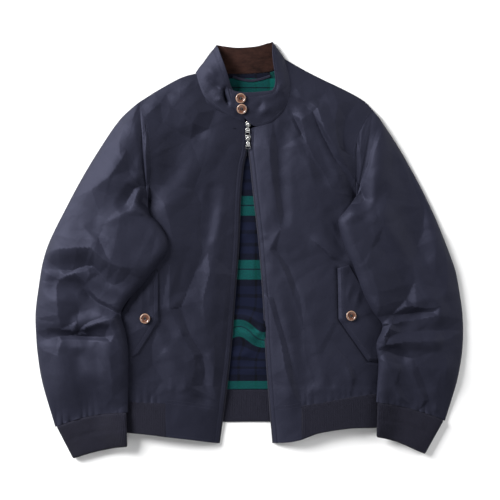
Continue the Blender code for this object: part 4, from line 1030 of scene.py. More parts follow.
SLEEVE_FOLDS = {
    "right": (
        Fold(30, 5, ((-206, 216), (-248, 130), (-214, 112))),
        Fold(22, -6, ((-186, 116), (-204, 104), (-218, 84))),
        Fold(32, 6, ((-352, 2), (-280, 8), (-212, -38))),
        Fold(28, -8, ((-342, -62), (-300, -66), (-232, -100))),
        Fold(20, 6, ((-300, -128), (-262, -118), (-236, -122))),
        Fold(22, -5, ((-372, -148), (-332, -150), (-288, -152))),
        Fold(26, 4, ((-345, -170), (-330, -230), (-318, -290))),
        Fold(22, -3, ((-300, -190), (-285, -270))),
        Fold(22, 3, ((-250, -170), (-246, -260))),
    ),
    "left": (
        Fold(22, -3, ((216, 214), (212, 150))),
        Fold(28, 5, ((232, 190), (222, 120), (182, 72))),
        Fold(32, -4, ((270, 150), (292, 60), (300, 0))),
        Fold(30, 5, ((232, 60), (290, -30), (330, -110))),
        Fold(24, -6, ((240, -130), (276, -124), (318, -106))),
        Fold(22, 5, ((236, -150), (282, -156), (326, -162))),
        Fold(22, -4, ((236, -168), (280, -200), (314, -236))),
        Fold(22, 4, ((292, -196), (318, -240), (330, -288))),
        Fold(20, 3, ((258, -210), (270, -268))),
    ),
}
SLEEVE_CREASES = {
    "right": (
        Crease(1.4, 10, 8, 0.5, ((-271, 40), (-237, 57), (-201, 69))),
        Crease(1.4, 6, 7, 0.5, ((-303, -182), (-287, -219), (-274, -248))),
        Crease(-1.4, 7, 6, 0.5, ((-272, -177), (-251, -216), (-233, -262))),
        Crease(1.6, 8, 8, 0.4, ((-237, -127), (-224, -148), (-219, -177))),
        Crease(-1.5, 8, 8, 0.5, ((-326, 65), (-340, 33), (-358, 12))),
        Crease(1.4, 9, 9, 0.5, ((-226, 204), (-258, 176), (-287, 129))),
        Crease(-1.6, 9, 9, 0.5, ((-205, 247), (-233, 218), (-258, 183))),
        Crease(1.5, 8, 8, 0.5, ((-304, 62), (-279, 26), (-247, 12))),
    ),
    "left": (
        Crease(1.7, 5, 5, 0.65, ((249, -232), (267, -259), (276, -280))),
        Crease(-1.6, 4, 5, 0.65, ((279, -239), (292, -259), (299, -280))),
        Crease(1.4, 5, 5, 0.6, ((333, -262), (333, -280), (329, -294))),
        Crease(1.7, 9, 10, 0.5, ((322, 76), (333, 8), (326, -70))),
        Crease(-1.5, 9, 9, 0.5, ((304, 126), (312, 65), (297, 1))),
        Crease(1.3, 8, 8, 0.5, ((260, 215), (276, 169), (287, 119))),
        Crease(1.2, 7, 7, 0.5, ((340, -166), (351, -205), (347, -251))),
    ),
}


def inside(ring, x, y):
    """Whether each (x, y) lies in a ring: an odd number of its edges is crossed to the right."""
    ax, ay = ring[:, 0], ring[:, 1]
    bx, by = np.roll(ax, -1), np.roll(ay, -1)
    px, py = np.ravel(x)[:, None], np.ravel(y)[:, None]
    rise = np.where(by == ay, 1e-9, by - ay)
    crossed = ((ay > py) != (by > py)) & (px < (bx - ax) * (py - ay) / rise + ax)
    return (crossed.sum(1) % 2 == 1).reshape(np.shape(x))


def cover_raster(side):
    """Heights that an under sleeve clears: the body's own, with tent slopes beside it.

    The raster is then smoothed four times by the weights 1, 2, 1 along both axes.
    """
    x, y = np.meshgrid(*(np.arange(-half, half + 1, COVER_STEP) for half in COVER_HALF))
    lines = SIDES[side]
    ring = np.vstack([smooth_line(lines.shoulder, 12), side_line(side, 60), lines.hem,
                      FRONT_HEM[side], smooth_line(lines.centre, 12)[::-1],
                      smooth_line(lines.neck, 12)[::-1]])
    underarm = np.array(lines.underarm, float)
    below = y < np.interp(np.abs(x), np.abs(underarm[:, 0]), underarm[:, 1]) + 1
    own = np.where(inside(ring, x, y) & below, front_height(side, x, y) + LAYERS_OVER_FRONT, 0.0)
    shifts = [(i, j) for i in range(-COVER_REACH, COVER_REACH + 1)
              for j in range(-COVER_REACH, COVER_REACH + 1)]
    cover = own.copy()
    for i, j in shifts:
        drop = COVER_SLOPE * max(0.0, math.hypot(i, j) * COVER_STEP - COVER_FLAT)
        cover = np.maximum(cover, np.roll(own, (i, j), (0, 1)) - drop)
    for _ in range(4):
        cover = (np.roll(cover, 1, 0) + 2 * cover + np.roll(cover, -1, 0)) / 4
        cover = (np.roll(cover, 1, 1) + 2 * cover + np.roll(cover, -1, 1)) / 4
    return cover


def cover_height(side, x, y):
    """Underside of an under sleeve: the raster's value at (x, y), blended from the nearest four."""
    cover = COVERS[side]
    fx, fy = ((value + half) / COVER_STEP for value, half in zip((x, y), COVER_HALF))
    i, j = fx.astype(int), fy.astype(int)
    u, v = fx - i, fy - j
    return ((cover[j, i] * (1 - u) + cover[j, i + 1] * u) * (1 - v)
            + (cover[j + 1, i] * (1 - u) + cover[j + 1, i + 1] * u) * v)


def sleeve_height(side, x, y):
    """Inner side of a top sleeve: domed between its edges, running into the front."""
    lines = SLEEVES[side]
    outer, inner = smooth_line(lines.outer, 8), smooth_line(lines.inner, 8)
    edge = np.minimum(distance(outer, x, y), distance(inner, x, y))
    under = cover_height(side, x, y)
    cuff = ease(distance(lines.cuff_seam, x, y, 8) / CUFF_EASE)
    loft = CUFF_HOLLOW + (SLEEVE_LOFT - CUFF_HOLLOW) * cuff
    loft = loft * (1 - 0.4 * np.clip(under / 20, 0, 1))
    bottom = under + SHELL + SEAM
    calm = 1 - np.exp(-edge / 14)
    risen = np.minimum(distance(outer, x, y) / SLEEVE_EASES[0],
                       distance(inner, x, y) / SLEEVE_EASES[1])
    dome = np.sqrt(1 - (1 - np.clip(risen, 0, 1)) ** 2)
    free = bottom + loft * dome
    free = free + folds_at(SLEEVE_FOLDS[side], x, y) * calm * (0.3 + 0.7 * cuff)
    away = ease(distance(SIDES[side].armhole, x, y, 8) / ARMHOLE_EASE[side])
    joined_to = front_height(side, x, y)
    return np.maximum(joined_to + (free - joined_to) * away, bottom + 0.25 * np.clip(edge, 0, 20))


SLEEVE_FACETS = {
    "right": [
        ((-187, 256, 4), (-183, 229, 6.5), (-182, 197, 7.5), (-183, 170, 7.5), (-182, 142, 6.5)),
        ((-206, 236, 2), (-210, 206, 1.5), (-217, 179, 1.5)),
        ((-222, 222, 3), (-230, 192, 3), (-228, 170, 4)),
        ((-224, 165, 5), (-235, 147, 6.5), (-247, 131, 7), (-279, 108, 5.5), (-304, 97, 2)),
        ((-215, 153, 2.5), (-210, 133, 1.5), (-203, 119, 1)),
        ((-242, 126, 5.5), (-222, 124, 3), (-206, 115, 1)),
        ((-183, 113, 0.4), (-194, 114, -0.8), (-205, 108, -1.5), (-212, 94, -1), (-217, 83, 1)),
        ((-183, 105, 2), (-194, 109, 5), (-201, 92, 6), (-208, 74, 6), (-226, 64, 4.5),
         (-251, 53, 3.5)),
        ((-253, 101, 4.5), (-262, 60, 4), (-267, 23, 3)),
        ((-235, 105, 3), (-240, 80, 2.8), (-233, 71, 2.6)),
        ((-297, 81, 2), (-294, 46, 2.5), (-301, 19, 3)),
        ((-358, -4, 1.5), (-336, 4, 6), (-304, 6, 8), (-281, 6, 9), (-272, 1, 9),
         (-258, -13, 8), (-244, -22, 7), (-226, -28, 6), (-205, -31, 4), (-176, -27, 1)),
        ((-354, -20, -1), (-336, -34, -1.5), (-313, -36, -1.5), (-290, -27, -2),
         (-276, -27, -2), (-263, -40, -2), (-253, -54, -2), (-239, -61, -1.5), (-222, -54, -1),
         (-212, -41, 0)),
        ((-336, -52, 5), (-326, -45, 5), (-308, -40, 4), (-285, -34, 2.5)),
        ((-342, -63, 6), (-340, -88, 7), (-338, -113, 6), (-344, -127, 3)),
        ((-281, -40, 3), (-288, -56, 4), (-279, -72, 4.5), (-267, -85, 5), (-247, -94, 4),
         (-228, -104, 1)),
        ((-294, -66, -1), (-283, -79, -4.5), (-271, -91, -5.5), (-253, -100, -5.5),
         (-233, -111, -3.5)),
        ((-308, -81, -1.5), (-303, -104, -4), (-304, -125, -4.5), (-301, -141, -4)),
        ((-295, -134, -4.5), (-283, -127, -4.5), (-262, -120, -4.5), (-242, -113, -3.5)),
        ((-292, -138, 3), (-279, -132, 4.5), (-260, -126, 5), (-239, -119, 4)),
        ((-290, -146, -1), (-272, -146, -1.5), (-253, -144, -2)),
        ((-244, -129, 4.5), (-237, -148, 4.5), (-224, -170, 2)),
        ((-358, -138, 2.5), (-333, -138, 2.5), (-312, -141, 2.5)),
        ((-338, -152, -2.5), (-315, -151, -4), (-283, -153, -4.5), (-255, -154, -4)),
        ((-333, -160, 3), (-301, -159, 4.5), (-265, -161, 5), (-244, -161, 4)),
        ((-372, -150, -1), (-360, -159, -2), (-340, -168, -1)),
        ((-367, -177, 0.5), (-356, -198, 1), (-344, -223, 1.5), (-331, -250, 1.5),
         (-322, -271, 1)),
        ((-340, -186, 2), (-326, -216, 2), (-310, -251, 1.6)),
        ((-294, -180, 4.2), (-283, -216, 4.2), (-271, -251, 3.6)),
        ((-301, -184, 3), (-292, -219, 2.6), (-281, -253, 1.6)),
        ((-246, -187, 6), (-242, -230, 6), (-242, -259, 4)),
    ],
    "left": [
        ((183, 251, 1.9), (182, 215, 2.2), (180, 179, 2.2), (182, 144, 1.7), (190, 119, 1.1)),
        ((192, 247, 0.6), (192, 206, 0.3), (189, 170, 0.3), (192, 140, 0.3)),
        ((199, 251, 1.7), (201, 215, 1.7), (198, 179, 1.4), (199, 147, 0.8)),
        ((217, 176, -0.3), (212, 154, -1.1), (203, 129, -1.1), (196, 113, -0.6)),
        ((224, 179, 2.2), (217, 151, 2.8), (208, 126, 2.5), (199, 108, 1.7)),
        ((239, 218, 1.7), (244, 179, 2.2), (246, 126, 2.5), (242, 85, 1.9)),
        ((217, 90, 0.8), (228, 64, 0), (237, 44, -0.8), (230, 19, -1.1)),
        ((180, 69, 1.1), (183, 33, 1.7), (190, 5, 1.9), (201, -20, 1.7)),
        ((219, 48, 2.2), (222, 23, 2.2), (215, 0, 1.7)),
        ((271, 179, -0.5), (290, 126, -2), (308, 76, -3.5), (313, 37, -4), (297, 5, -4.5),
         (290, -25, -4.5), (294, -56, -4.5), (279, -86, -4.5), (253, -113, -4)),
        ((208, -24, 3), (219, -43, 3.5), (228, -73, 3.5), (230, -98, 2.5)),
        ((340, 26, 1.7), (352, -20, 2.2), (352, -70, 2.5), (340, -98, 2.2)),
        ((279, -98, 1.5), (297, -99, 2.5), (322, -102, 2)),
        ((258, -118, -3), (276, -112, -3), (301, -109, -3), (326, -110, -1)),
        ((253, -130, 3.5), (272, -126, 3.6), (301, -122, 3.3), (336, -114, 2)),
        ((247, -152, -3), (269, -145, -3), (304, -143, -2.6), (349, -141, -1.5)),
        ((240, -166, 3.5), (272, -162, 3.2), (312, -161, 2.6), (349, -159, 1.2)),
        ((244, -178, -2.5), (265, -186, -3.5), (290, -191, -2.5)),
        ((244, -198, 1.5), (269, -203, 1.5), (290, -205, 1.2)),
        ((233, -125, -3), (240, -134, -5.5)),
        ((248, -138, 5), (239, -152, 5), (228, -163, 3)),
        ((299, -205, -0.5), (310, -232, -1), (320, -266, -1)),
        ((290, -214, 3), (299, -239, 3), (312, -266, 2.5)),
        ((265, -234, 0.5), (276, -253, 0), (285, -271, 0)),
        ((258, -237, 2.5), (269, -259, 2.5)),
        ((333, -177, 1.4), (340, -212, 1.7), (333, -251, 1.4)),
    ],
}
COVERS = {side: cover_raster(side) for side in SIDES}
for side, lines in SLEEVES.items():
    armhole = smooth_line(SIDES[side].armhole, 3)
    outer, inner = smooth_line(lines.outer, 3), smooth_line(lines.inner, 3)
    cuff = smooth_line(lines.cuff_seam, 3)
    high = int(ARMHOLE_TOP * len(armhole))
    beside = joined_lines([armhole[high - 1:], inner], 400)
    columns, rows = UNDER_GRID
    plan = patch_between(armhole[:high], cuff, outer, beside, crowded(columns, 0.5, 0.5),
                         np.linspace(0, 1, rows))
    plan = pulled_in(evened(plan, 4), 1.2)
    grain = even_grain(np.linspace(0, 150, columns), np.linspace(0, 600, rows))
    low = cover_height(side, *xy(plan))
    low = low + 0.3 * ease(low)
    under = add_wall(f"{side}_under_sleeve", raised(plan, low), SHELL, shell_cloth, grain=grain)
    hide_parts(f"under_sleeve_{side}")

    columns, rows = TOP_GRID
    plan = patch_between(armhole[:high], cuff, outer, beside, crowded(columns, 0.6, 0.6),
                         crowded(rows, 0.1, 0.3))
    plan[:90] = evened(plan[:90], 20)
    plan = pulled_in(plan, 0.4)
    px, py = xy(plan)
    edge = np.minimum(distance(outer, px, py), distance(inner, px, py))
    seam = distance(cuff, px, py)
    free = (0.15 + 0.85 * ease(edge / 10)) * ease((distance(armhole, px, py) - 1) / 14)
    base = sleeve_height(side, px, py)
    over = base - cover_height(side, px, py) - SHELL - SEAM
    rim = np.vstack([even_line(line, count) for line, count in (
        (armhole, 24), (outer, 30), (cuff[::-1], 6), (inner[::-1], 26))])
    relief = facet_net(rim[::-1] if side == "left" else rim, SLEEVE_FACETS[side], side)
    relief = RELIEF * net_height(relief, px, py)
    height = base.copy()
    height += creased(SLEEVE_CREASES[side], px, py) * free * ease(seam / 12)
    height = rumpled(height, SLEEVE_RUMPLE[side], px, py, free)
    height += gathers_at(cuff, px, py, 41 if side == "right" else 44) * ease(over / 5)
    low = cover_height(side, px, py) + SHELL + SEAM + 0.2
    crisp = slopes_of(plan, height) + relief[..., 1:]
    height = softened(np.maximum(height + relief[..., 0], low))
    share = SLEEVE_SHARE * ease((distance(armhole, px, py) - 3) / 8) * ease((height - low) / 2)
    slopes = slopes_of(plan, height) * (1 - share[..., None]) + crisp * share[..., None]
    grain = even_grain(np.linspace(0, 170, columns), np.linspace(0, 620, rows))
    upper = add_wall(f"{side}_top_sleeve", raised(plan, height), SHELL, shell_cloth, grain=grain,
                     slopes=slopes)
    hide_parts(f"top_sleeve_{side}")


# ============================================================ cuffs
# Doubled fine rib knit tubes, narrower than the sleeves, which are gathered into them.  They
# lie flattened, with a soft crease across the middle.
CUFF_SQUARE = (0.7, 0.45) # powers across and up of its section: 1 is round, less is squarer
CUFF_LONG = 60
CUFF_GRID = (400, 20)     # points round it and along it
CUFF_CREASE = (0.9, 0.46, 0.05)    # depth, and place and half width as shares of its length


def full_turn(count):
    """Angles of count even steps round a circle."""
    return np.linspace(0, 2 * math.pi, count, endpoint=False)


def quads_round(index, closed=False):
    """Quads of a grid of indices whose columns run on round, and its rows too where closed."""
    below = np.roll(index, -1, axis=-2)
    quads = np.stack([index, below, np.roll(below, -1, axis=-1), np.roll(index, -1, axis=-1)],
                     axis=-1)
    return (quads if closed else quads[..., :-1, :, :]).reshape(-1, 4)


def flattened_tube(side, shares, turn):
    """Cuff surface: a squared oval section carried from the seam line to the wrist line.

    Across it is (1 - sign(cos) |cos| ** a) / 2 of the width, up it is (1 + sign(sin)
    |sin| ** b) / 2 of the height, for the angle turn.
    """
    lines = SLEEVES[side]
    across = 0.5 - 0.5 * np.sign(np.cos(turn)) * np.abs(np.cos(turn)) ** CUFF_SQUARE[0]
    up = 0.5 + 0.5 * np.sign(np.sin(turn)) * np.abs(np.sin(turn)) ** CUFF_SQUARE[1]
    seam, end = smooth_line(lines.cuff_seam, 3), smooth_line(lines.cuff_end, 3)
    share = 0.012 + 0.976 * across
    plan = (at_shares(seam, share)[None] * (1 - shares[:, None, None])
            + at_shares(end, share)[None] * shares[:, None, None])
    low = cover_height(side, *xy(plan))
    return raised(plan, low + (2 * KNIT + CUFF_HOLLOW) * up[None])


for side in SLEEVES:
    turn = full_turn(CUFF_GRID[0])
    shares = np.linspace(0.006, 1, CUFF_GRID[1])
    tube = flattened_tube(side, shares, turn)
    around = np.linalg.norm(np.roll(tube, -1, axis=1) - tube, axis=2)
    run = np.cumsum(around[10])
    ends = np.minimum(shares, 1 - shares)[:, None]
    normal = unit(np.cross(np.gradient(tube, axis=0),
                           np.roll(tube, -1, axis=1) - np.roll(tube, 1, axis=1)))
    if (normal[:, 72:128, 2]).mean() < 0:
        normal = -normal
    upward = np.sin(turn)[None] > 0.3
    depth, place, reach = CUFF_CREASE
    crease = -depth * np.exp(-((shares[:, None] - place) / reach) ** 2) * upward
    puckers = 0.5 * unevenness(run[None], CUFF_LONG * shares[:, None], 12, 51)
    relief = ribs_up(run)[None] * ease(ends * 18) - RIB_RELIEF + crease + puckers * upward
    relief = relief - 0.9 * (1 - ease(ends * 20))
    outer = tube + normal * relief[..., None]
    inner = tube - normal * (KNIT - 0.3)
    wrap = np.concatenate([outer, inner[::-1]])
    faces = quads_round(np.arange(wrap[..., 0].size).reshape(wrap.shape[:2]), closed=True)
    grain = even_grain(run, np.concatenate([shares, shares[::-1]]) * CUFF_LONG).reshape(-1, 2)
    face = wrap.reshape(-1, 3)[faces[9 * len(turn) + 100]]
    if np.cross(face[1] - face[0], face[2] - face[0])[2] < 0:
        faces = faces[:, ::-1]
    made = add_surface(f"{side}_cuff", wrap.reshape(-1, 3), faces, rib_knit, grain=grain)
    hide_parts(f"cuff_{side}")


# ============================================================ collar and its facing
# One strip of shell cloth stands round the neck and ends in a tab that laps over the right
# front; its inner side is faced with brown fine corduroy, which shows along the back.
Section = namedtuple("Section", "seam_x seam_y seam_z edge_x edge_y edge_z")
COLLAR = (
    Section(-8.0, 228.3, None, -4.0, 275.0, 12.0),
    Section(-19.6, 233.3, None, -19.6, 277.0, 12.5),
    Section(-35.6, 241.6, None, -31.0, 288.0, 14.5),
    Section(-53.4, 254.6, None, -35.0, 300.0, 19.0),
    Section(-69.0, 265.0, None, -39.0, 314.5, 22.0),
    Section(-80.5, 278.0, None, -44.5, 331.5, 22.0),
    Section(-88.5, 296.0, None, -50.0, 346.5, 19.0),
    Section(-92.6, 310.5, 4.6, -54.6, 360.0, 12.0),
    Section(-95.0, 317.2, 3.0, -57.6, 365.6, 5.5),
    Section(-90.5, 316.8, LIES, -54.0, 366.2, LIES),
    Section(-60.0, 315.6, LIES, -40.0, 364.0, LIES),
    Section(-20.0, 315.4, LIES, -18.0, 362.0, LIES),
    Section(20.0, 317.4, LIES, 14.0, 364.5, LIES),
    Section(42.0, 321.6, LIES, 31.0, 369.5, LIES),
    Section(57.5, 336.0, LIES, 38.5, 371.0, LIES),
    Section(63.2, 343.0, 3.0, 42.0, 371.3, 5.5),
    Section(65.4, 335.0, 4.6, 41.6, 357.0, 12.0),
    Section(70.0, 313.0, None, 43.0, 336.0, 18.0),
    Section(72.2, 290.0, None, 46.0, 315.0, 21.0),
    Section(70.4, 268.0, None, 47.0, 298.0, 22.0),
    Section(63.0, 252.4, None, 42.0, 285.0, 22.0),
    Section(51.0, 237.6, None, 27.0, 282.5, 21.0),
    Section(35.6, 227.4, None, 9.0, 281.0, 20.0),
    Section(15.0, 221.8, None, -4.0, 280.8, 19.4),
    Section(3.6, 226.0, 12.0, -12.0, 281.2, 19.0),
    Section(-6.0, 236.0, 13.2, -20.0, 282.0, 18.8),
    Section(-18.0, 245.5, 14.6, -28.0, 284.0, 18.6),
    Section(-28.0, 256.0, 15.8, -34.8, 287.5, 18.4),
)
COLLAR_CREASES = (
    Crease(2.4, 6, 7, 0.5, ((-84, 330), (-66, 318), (-58, 298))),
    Crease(-4.0, 6, 8, 0.5, ((-78, 312), (-66, 300), (-50, 286), (-40, 276))),
    Crease(2.6, 4, 6, 0.5, ((-66, 270), (-52, 268), (-46, 278))),
    Crease(-2.4, 5, 7, 0.5, ((-88, 300), (-74, 284), (-58, 262))),
    Crease(1.8, 5, 6, 0.5, ((46, 262), (30, 250), (14, 236))),
    Crease(-1.4, 4, 5, 0.5, ((26, 274), (20, 258), (8, 246))),
    Crease(1.2, 5, 5, 0.5, ((60, 312), (54, 290), (44, 270))),
)
# The dark gap between the tab and the collar under it:
TAB_SLIT = (Crease(-10.0, 3, 4, 0.5, ((-38, 295), (-42.5, 286), (-42, 276), (-38.5, 266),
                                      (-34, 254))),)
COLLAR_DEEP, COLLAR_LONG = 52, 640
COLLAR_BULGE = 2.0        # how far its standing part bows out
NECK_CLEAR = 0.8          # the collar's seam stands this far off the cut edge of the neck
TAB_UNDER = 8             # last section on the right front's neck, counted from 0
BACK_ROWS = (9, 14)       # the sections along the back neck, whose inner side shows
TAB_START = 23            # last section on the left front's neck, where the tab begins
CORD_PITCH = 1.9


def corduroy(name, colour, pale):
    """Fine corduroy: rounded wales, as the absolute sine of the grain coordinate, with shade
    painted darker in the furrows between them.
    """
    cord = Finish(name, colour, 0.9, 0.0, 0.08, 0.06)
    _, along = cord.axes()
    wale = cord.math("ABSOLUTE", cord.wave(along, math.pi / (CORD_PITCH * MM)))
    worn = cord.noise(52.0, 6.0, 0.75, on=cord.stretched(cord.place(), (0.6, 1.6, 1.0)))
    patchy = cord.mix(cord.range(worn, From_Min=0.32, From_Max=0.68), colour, pale)
    # Painted shade: the colour is darkened to 0.45 of itself in the furrows between the wales.
    furrow = cord.range(wale, To_Min=0.45, To_Max=1.0)
    cord.link(cord.shader["Base Color"], cord.mix(1.0, patchy, furrow, "MULTIPLY"))
    cord.dent((wale, 0.7, 0.0006))
    return cord.made


def collar_lines():
    """Seam and top edge of the collar, smoothed, the seam laid along the neck of the body."""
    table = np.array([[np.nan if value is None else value for value in row] for row in COLLAR])
    for side, chosen in (("right", table[:, 0] < 0), ("left", table[:, 0] >= 0)):
        lost = chosen & np.isnan(table[:, 2])
        table[lost, 2] = front_height(side, table[lost, 0], table[lost, 1])
    knots = np.vstack([2 * table[0] - table[1], table, 2 * table[-1] - table[-2]])
    a, b, c, d = (knots[k:len(knots) - 3 + k] for k in range(4))
    fine = np.vstack([table[:1], np.stack([(9 * (b + c) - a - d) / 16, c], 1).reshape(-1, 6)])
    seam, edge = fine[:, :3].copy(), fine[:, 3:]
    stretches = ((0, TAB_UNDER, SIDES["right"].neck), (*BACK_ROWS, BACK_NECK),
                 (BACK_ROWS[1] + 1, TAB_START, SIDES["left"].neck))
    for first, last, line in stretches:
        part = slice(2 * first, 2 * last + 1)
        neck = smooth_line(line, 3)
        stretch, share, _, _ = nearest(neck, seam[part, 0], seam[part, 1])
        on = neck[stretch] + share[:, None] * np.diff(neck, axis=0)[stretch]
        inwards = edge[part, :2] - on
        seam[part, :2] = on + unit(inwards) * NECK_CLEAR
    return seam, edge


def collar_grid(columns, rows, span, first=0.0, last=1.0):
    """Collar surface: lines from seam to top edge over the span, bowed out where it stands."""
    seam, edge = collar_lines()
    place = np.linspace(0, len(seam) - 1, 6 * len(seam))
    both = np.hstack([seam, edge])
    whole = read_at(both, np.arange(len(seam)), place)
    kernel = np.array([1, 2, 3, 2, 1]) / 9
    padded = np.vstack([whole[:1]] * 2 + [whole] + [whole[-1:]] * 2)
    soft = np.column_stack([np.convolve(padded[:, k], kernel, "valid") for k in range(6)])
    soft[0], soft[-1] = whole[0], whole[-1]
    at = np.linspace(first, last, columns)
    lines = at_shares(soft, at)
    t = span[:, None, None] if rows is None else np.linspace(*span, rows)[:, None, None]
    grid = lines[None, :, :3] * (1 - t) + lines[None, :, 3:] * t
    stands = np.clip((lines[:, 5] - LIES) / 8, 0, 1)
    grid[..., 2] += COLLAR_BULGE * np.sin(math.pi * t[..., 0]) * stands
    return grid, t[..., 0], at


brown_cord = corduroy("brown_corduroy", (0.0075, 0.0036, 0.0032), (0.043, 0.0185, 0.0140))
collar_plan, up, along = collar_grid(340, None, crowded(30, 0.2, 0.5))
normal = normals_of(collar_plan)
outwards = -1 if normal[:, :150, 2].mean() < 0 else 1
fold, gap = (creased(creases, *xy(collar_plan)) for creases in (COLLAR_CREASES, TAB_SLIT))
gap = gap * (along < 0.4)
wave = (fold + 0.8 * unevenness(*xy(collar_plan), 13, 61)
        + 2.0 * facets(*xy(collar_plan), 24, 62)) * np.sin(math.pi * up)
stitched = -0.35 * np.exp(-((1 - up) * COLLAR_DEEP - STITCH_IN) ** 2 / 1.7)
collar_plan = collar_plan + normal * outwards * (wave + stitched + gap)[..., None]
collar_plan[..., 2] = np.maximum(collar_plan[..., 2], SHELL + 0.4)
grain = even_grain(along * COLLAR_LONG, up * COLLAR_DEEP)
collar_plan, grain = collar_plan[:, ::outwards], grain[:, ::outwards]
collar = add_wall("collar_shell", collar_plan, SHELL, shell_cloth, grain=grain, turned=False)
collar_outer = collar_plan + normals_of(collar_plan) * SHELL
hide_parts("collar")
inside_plan, up, along = collar_grid(230, 18, (0.02, 0.992), 0.30, 0.955)
normal = normals_of(inside_plan) * outwards
inside_plan = inside_plan - normal * (SEAM + 1.0)
inside_plan[..., 2] = np.maximum(inside_plan[..., 2], LIES)
grain = even_grain(along * COLLAR_LONG, up * COLLAR_DEEP)
inside_plan, grain = inside_plan[:, ::outwards], grain[:, ::outwards]
facing = add_wall("collar_corduroy", inside_plan, 1.0, brown_cord, grain=grain, turned=False)
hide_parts("collar_facing")


# ============================================================ hanger loop
# A narrow tube of shell cloth caught in the back neck seam at both ends.
HANGER_LOOP = ((-29, 311), (-12, 305.5), (3, 303.5), (20, 306), (38, 312))
LOOP_HALF = (2.5, 0.7)    # half its width and half its thickness


def sideways_of(line):
    """Unit normals in plan of a line, to its left."""
    ahead = np.gradient(line, axis=0)
    return unit(np.column_stack([-ahead[:, 1], ahead[:, 0]]))


loop_line = smooth_line(HANGER_LOOP, 1.2)
sideways = sideways_of(loop_line)
turn = full_turn(24)
flat_round = np.column_stack([LOOP_HALF[0] * np.cos(turn), LOOP_HALF[1]
                              * np.sign(np.sin(turn)) * np.abs(np.sin(turn)) ** 0.6])
loop_plan = loop_line[:, None] + sideways[:, None] * flat_round[None, :, :1]
loop_level = LIES + LINING + SEAM + 1.0 + flat_round[None, :, 1]
loop_points = raised(loop_plan, np.broadcast_to(loop_level, loop_plan.shape[:2]))
faces = quads_round(np.arange(len(loop_line) * 24).reshape(-1, 24))
hanger = add_surface("hanger_loop_cloth", loop_points.reshape(-1, 3), faces, shell_cloth,
                     grain=loop_points.reshape(-1, 3)[:, :2])
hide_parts("hanger_loop")


# ============================================================ zip
# A two-way metal zip: woven tapes sewn under the front edges, nickel teeth along their beads,
# two sliders drawn up to the collar, each with a pull that swings on its arch.
TAPE_UNDER = 10.0         # how far a tape runs under the front
TAPE_SHOW = 2.4           # how far it stands out into the opening
TOOTH_PITCH = 2.9
TOOTH = (1.5, 2.5, 1.7)   # along the tape, across it and up


def nickel(name, colour, roughness):
    """Plated metal: fine scratches stretched along one direction roughen and dent it."""
    metal = Finish(name, colour, roughness, 1.0)
    scratch = metal.noise(900.0, 4.0, 0.7, on=metal.stretched(metal.place(), (3.0, 1.0, 1.0)))
    metal.link(metal.shader["Roughness"],
               metal.range(scratch, To_Min=roughness * 0.7, To_Max=roughness * 1.4))
    metal.dent((scratch, 0.15, 0.0001))
    return metal.made


zip_metal = nickel("zip_nickel", (0.74, 0.74, 0.72), 0.25)
tooth_metal = nickel("zip_teeth", (0.42, 0.42, 0.42), 0.34)
tape_cloth = woven("zip_tape_cloth", (0.010, 0.010, 0.016), (0.016, 0.016, 0.024), 900, 0.5,
                   0.8, 0.2, 0.3, 0.1)
corner_signs = np.array([(i, j, k) for i in (-1, 1) for j in (-1, 1) for k in (-1, 1)], float)
block = np.array([(0, 1, 3, 2), (4, 6, 7, 5), (0, 4, 5, 1), (2, 3, 7, 6), (0, 2, 6, 4),
                  (1, 5, 7, 3)])


def tube_along(paths, radius, sides=6):
    """Round threads carried along paths, shape (threads, points, 3), thinner at their ends.

    The section is a circle in the plane of the path's sideways and upward directions.
    """
    ahead = unit(np.gradient(paths, axis=1))
    sideways = unit(np.cross(ahead, (0, 0, 1.0)))
    upward = np.cross(sideways, ahead)
    turn = full_turn(sides)
    count, length = paths.shape[:2]
    thick = radius * np.where(np.isin(np.arange(length), (0, length - 1)), 0.45, 1.0)
    ring = (sideways[:, :, None] * np.cos(turn)[None, None, :, None]
            + upward[:, :, None] * np.sin(turn)[None, None, :, None])
    points = paths[:, :, None] + ring * thick[None, :, None, None]
    faces = quads_round(np.arange(count * length * sides).reshape(count, length, sides))
    return points.reshape(-1, 3), faces[:, [0, 3, 2, 1]]


def plate(outline, hole, low, high, relief=None):
    """Closed plate with a hole: a round-cornered section carried round from hole to outline.

    A point is hole + (outline - hole) * share, for shares running out along the top, round
    the edge by a quarter circle each way, and back along the bottom.
    """
    thick = high - low
    turn = np.linspace(0, math.pi, 9)
    share = np.concatenate([np.linspace(0, 0.9, 12), 0.9 + 0.1 * np.sin(turn[1:-1]),
                            np.linspace(0.9, 0, 6)])
    level = np.concatenate([np.full(12, high), low + thick * (0.5 + 0.5 * np.cos(turn[1:-1])),
                            np.full(6, low)])
    ring = hole[None] + (outline - hole)[None] * share[:, None, None]
    height = np.broadcast_to(level[:, None], ring.shape[:2]).copy()
    if relief is not None:
        height[:12] += relief(*xy(ring[:12])) * ease((0.9 - share[:12]) * 9)[:, None]
    faces = quads_round(np.arange(height.size).reshape(height.shape), closed=True)
    return raised(ring, height).reshape(-1, 3), faces


def merged(parts):
    """Points and faces of several shells as one list each."""
    starts = np.cumsum([0] + [len(points) for points, _ in parts[:-1]])
    return (np.vstack([points for points, _ in parts]),
            np.vstack([faces + start for (_, faces), start in zip(parts, starts)]))


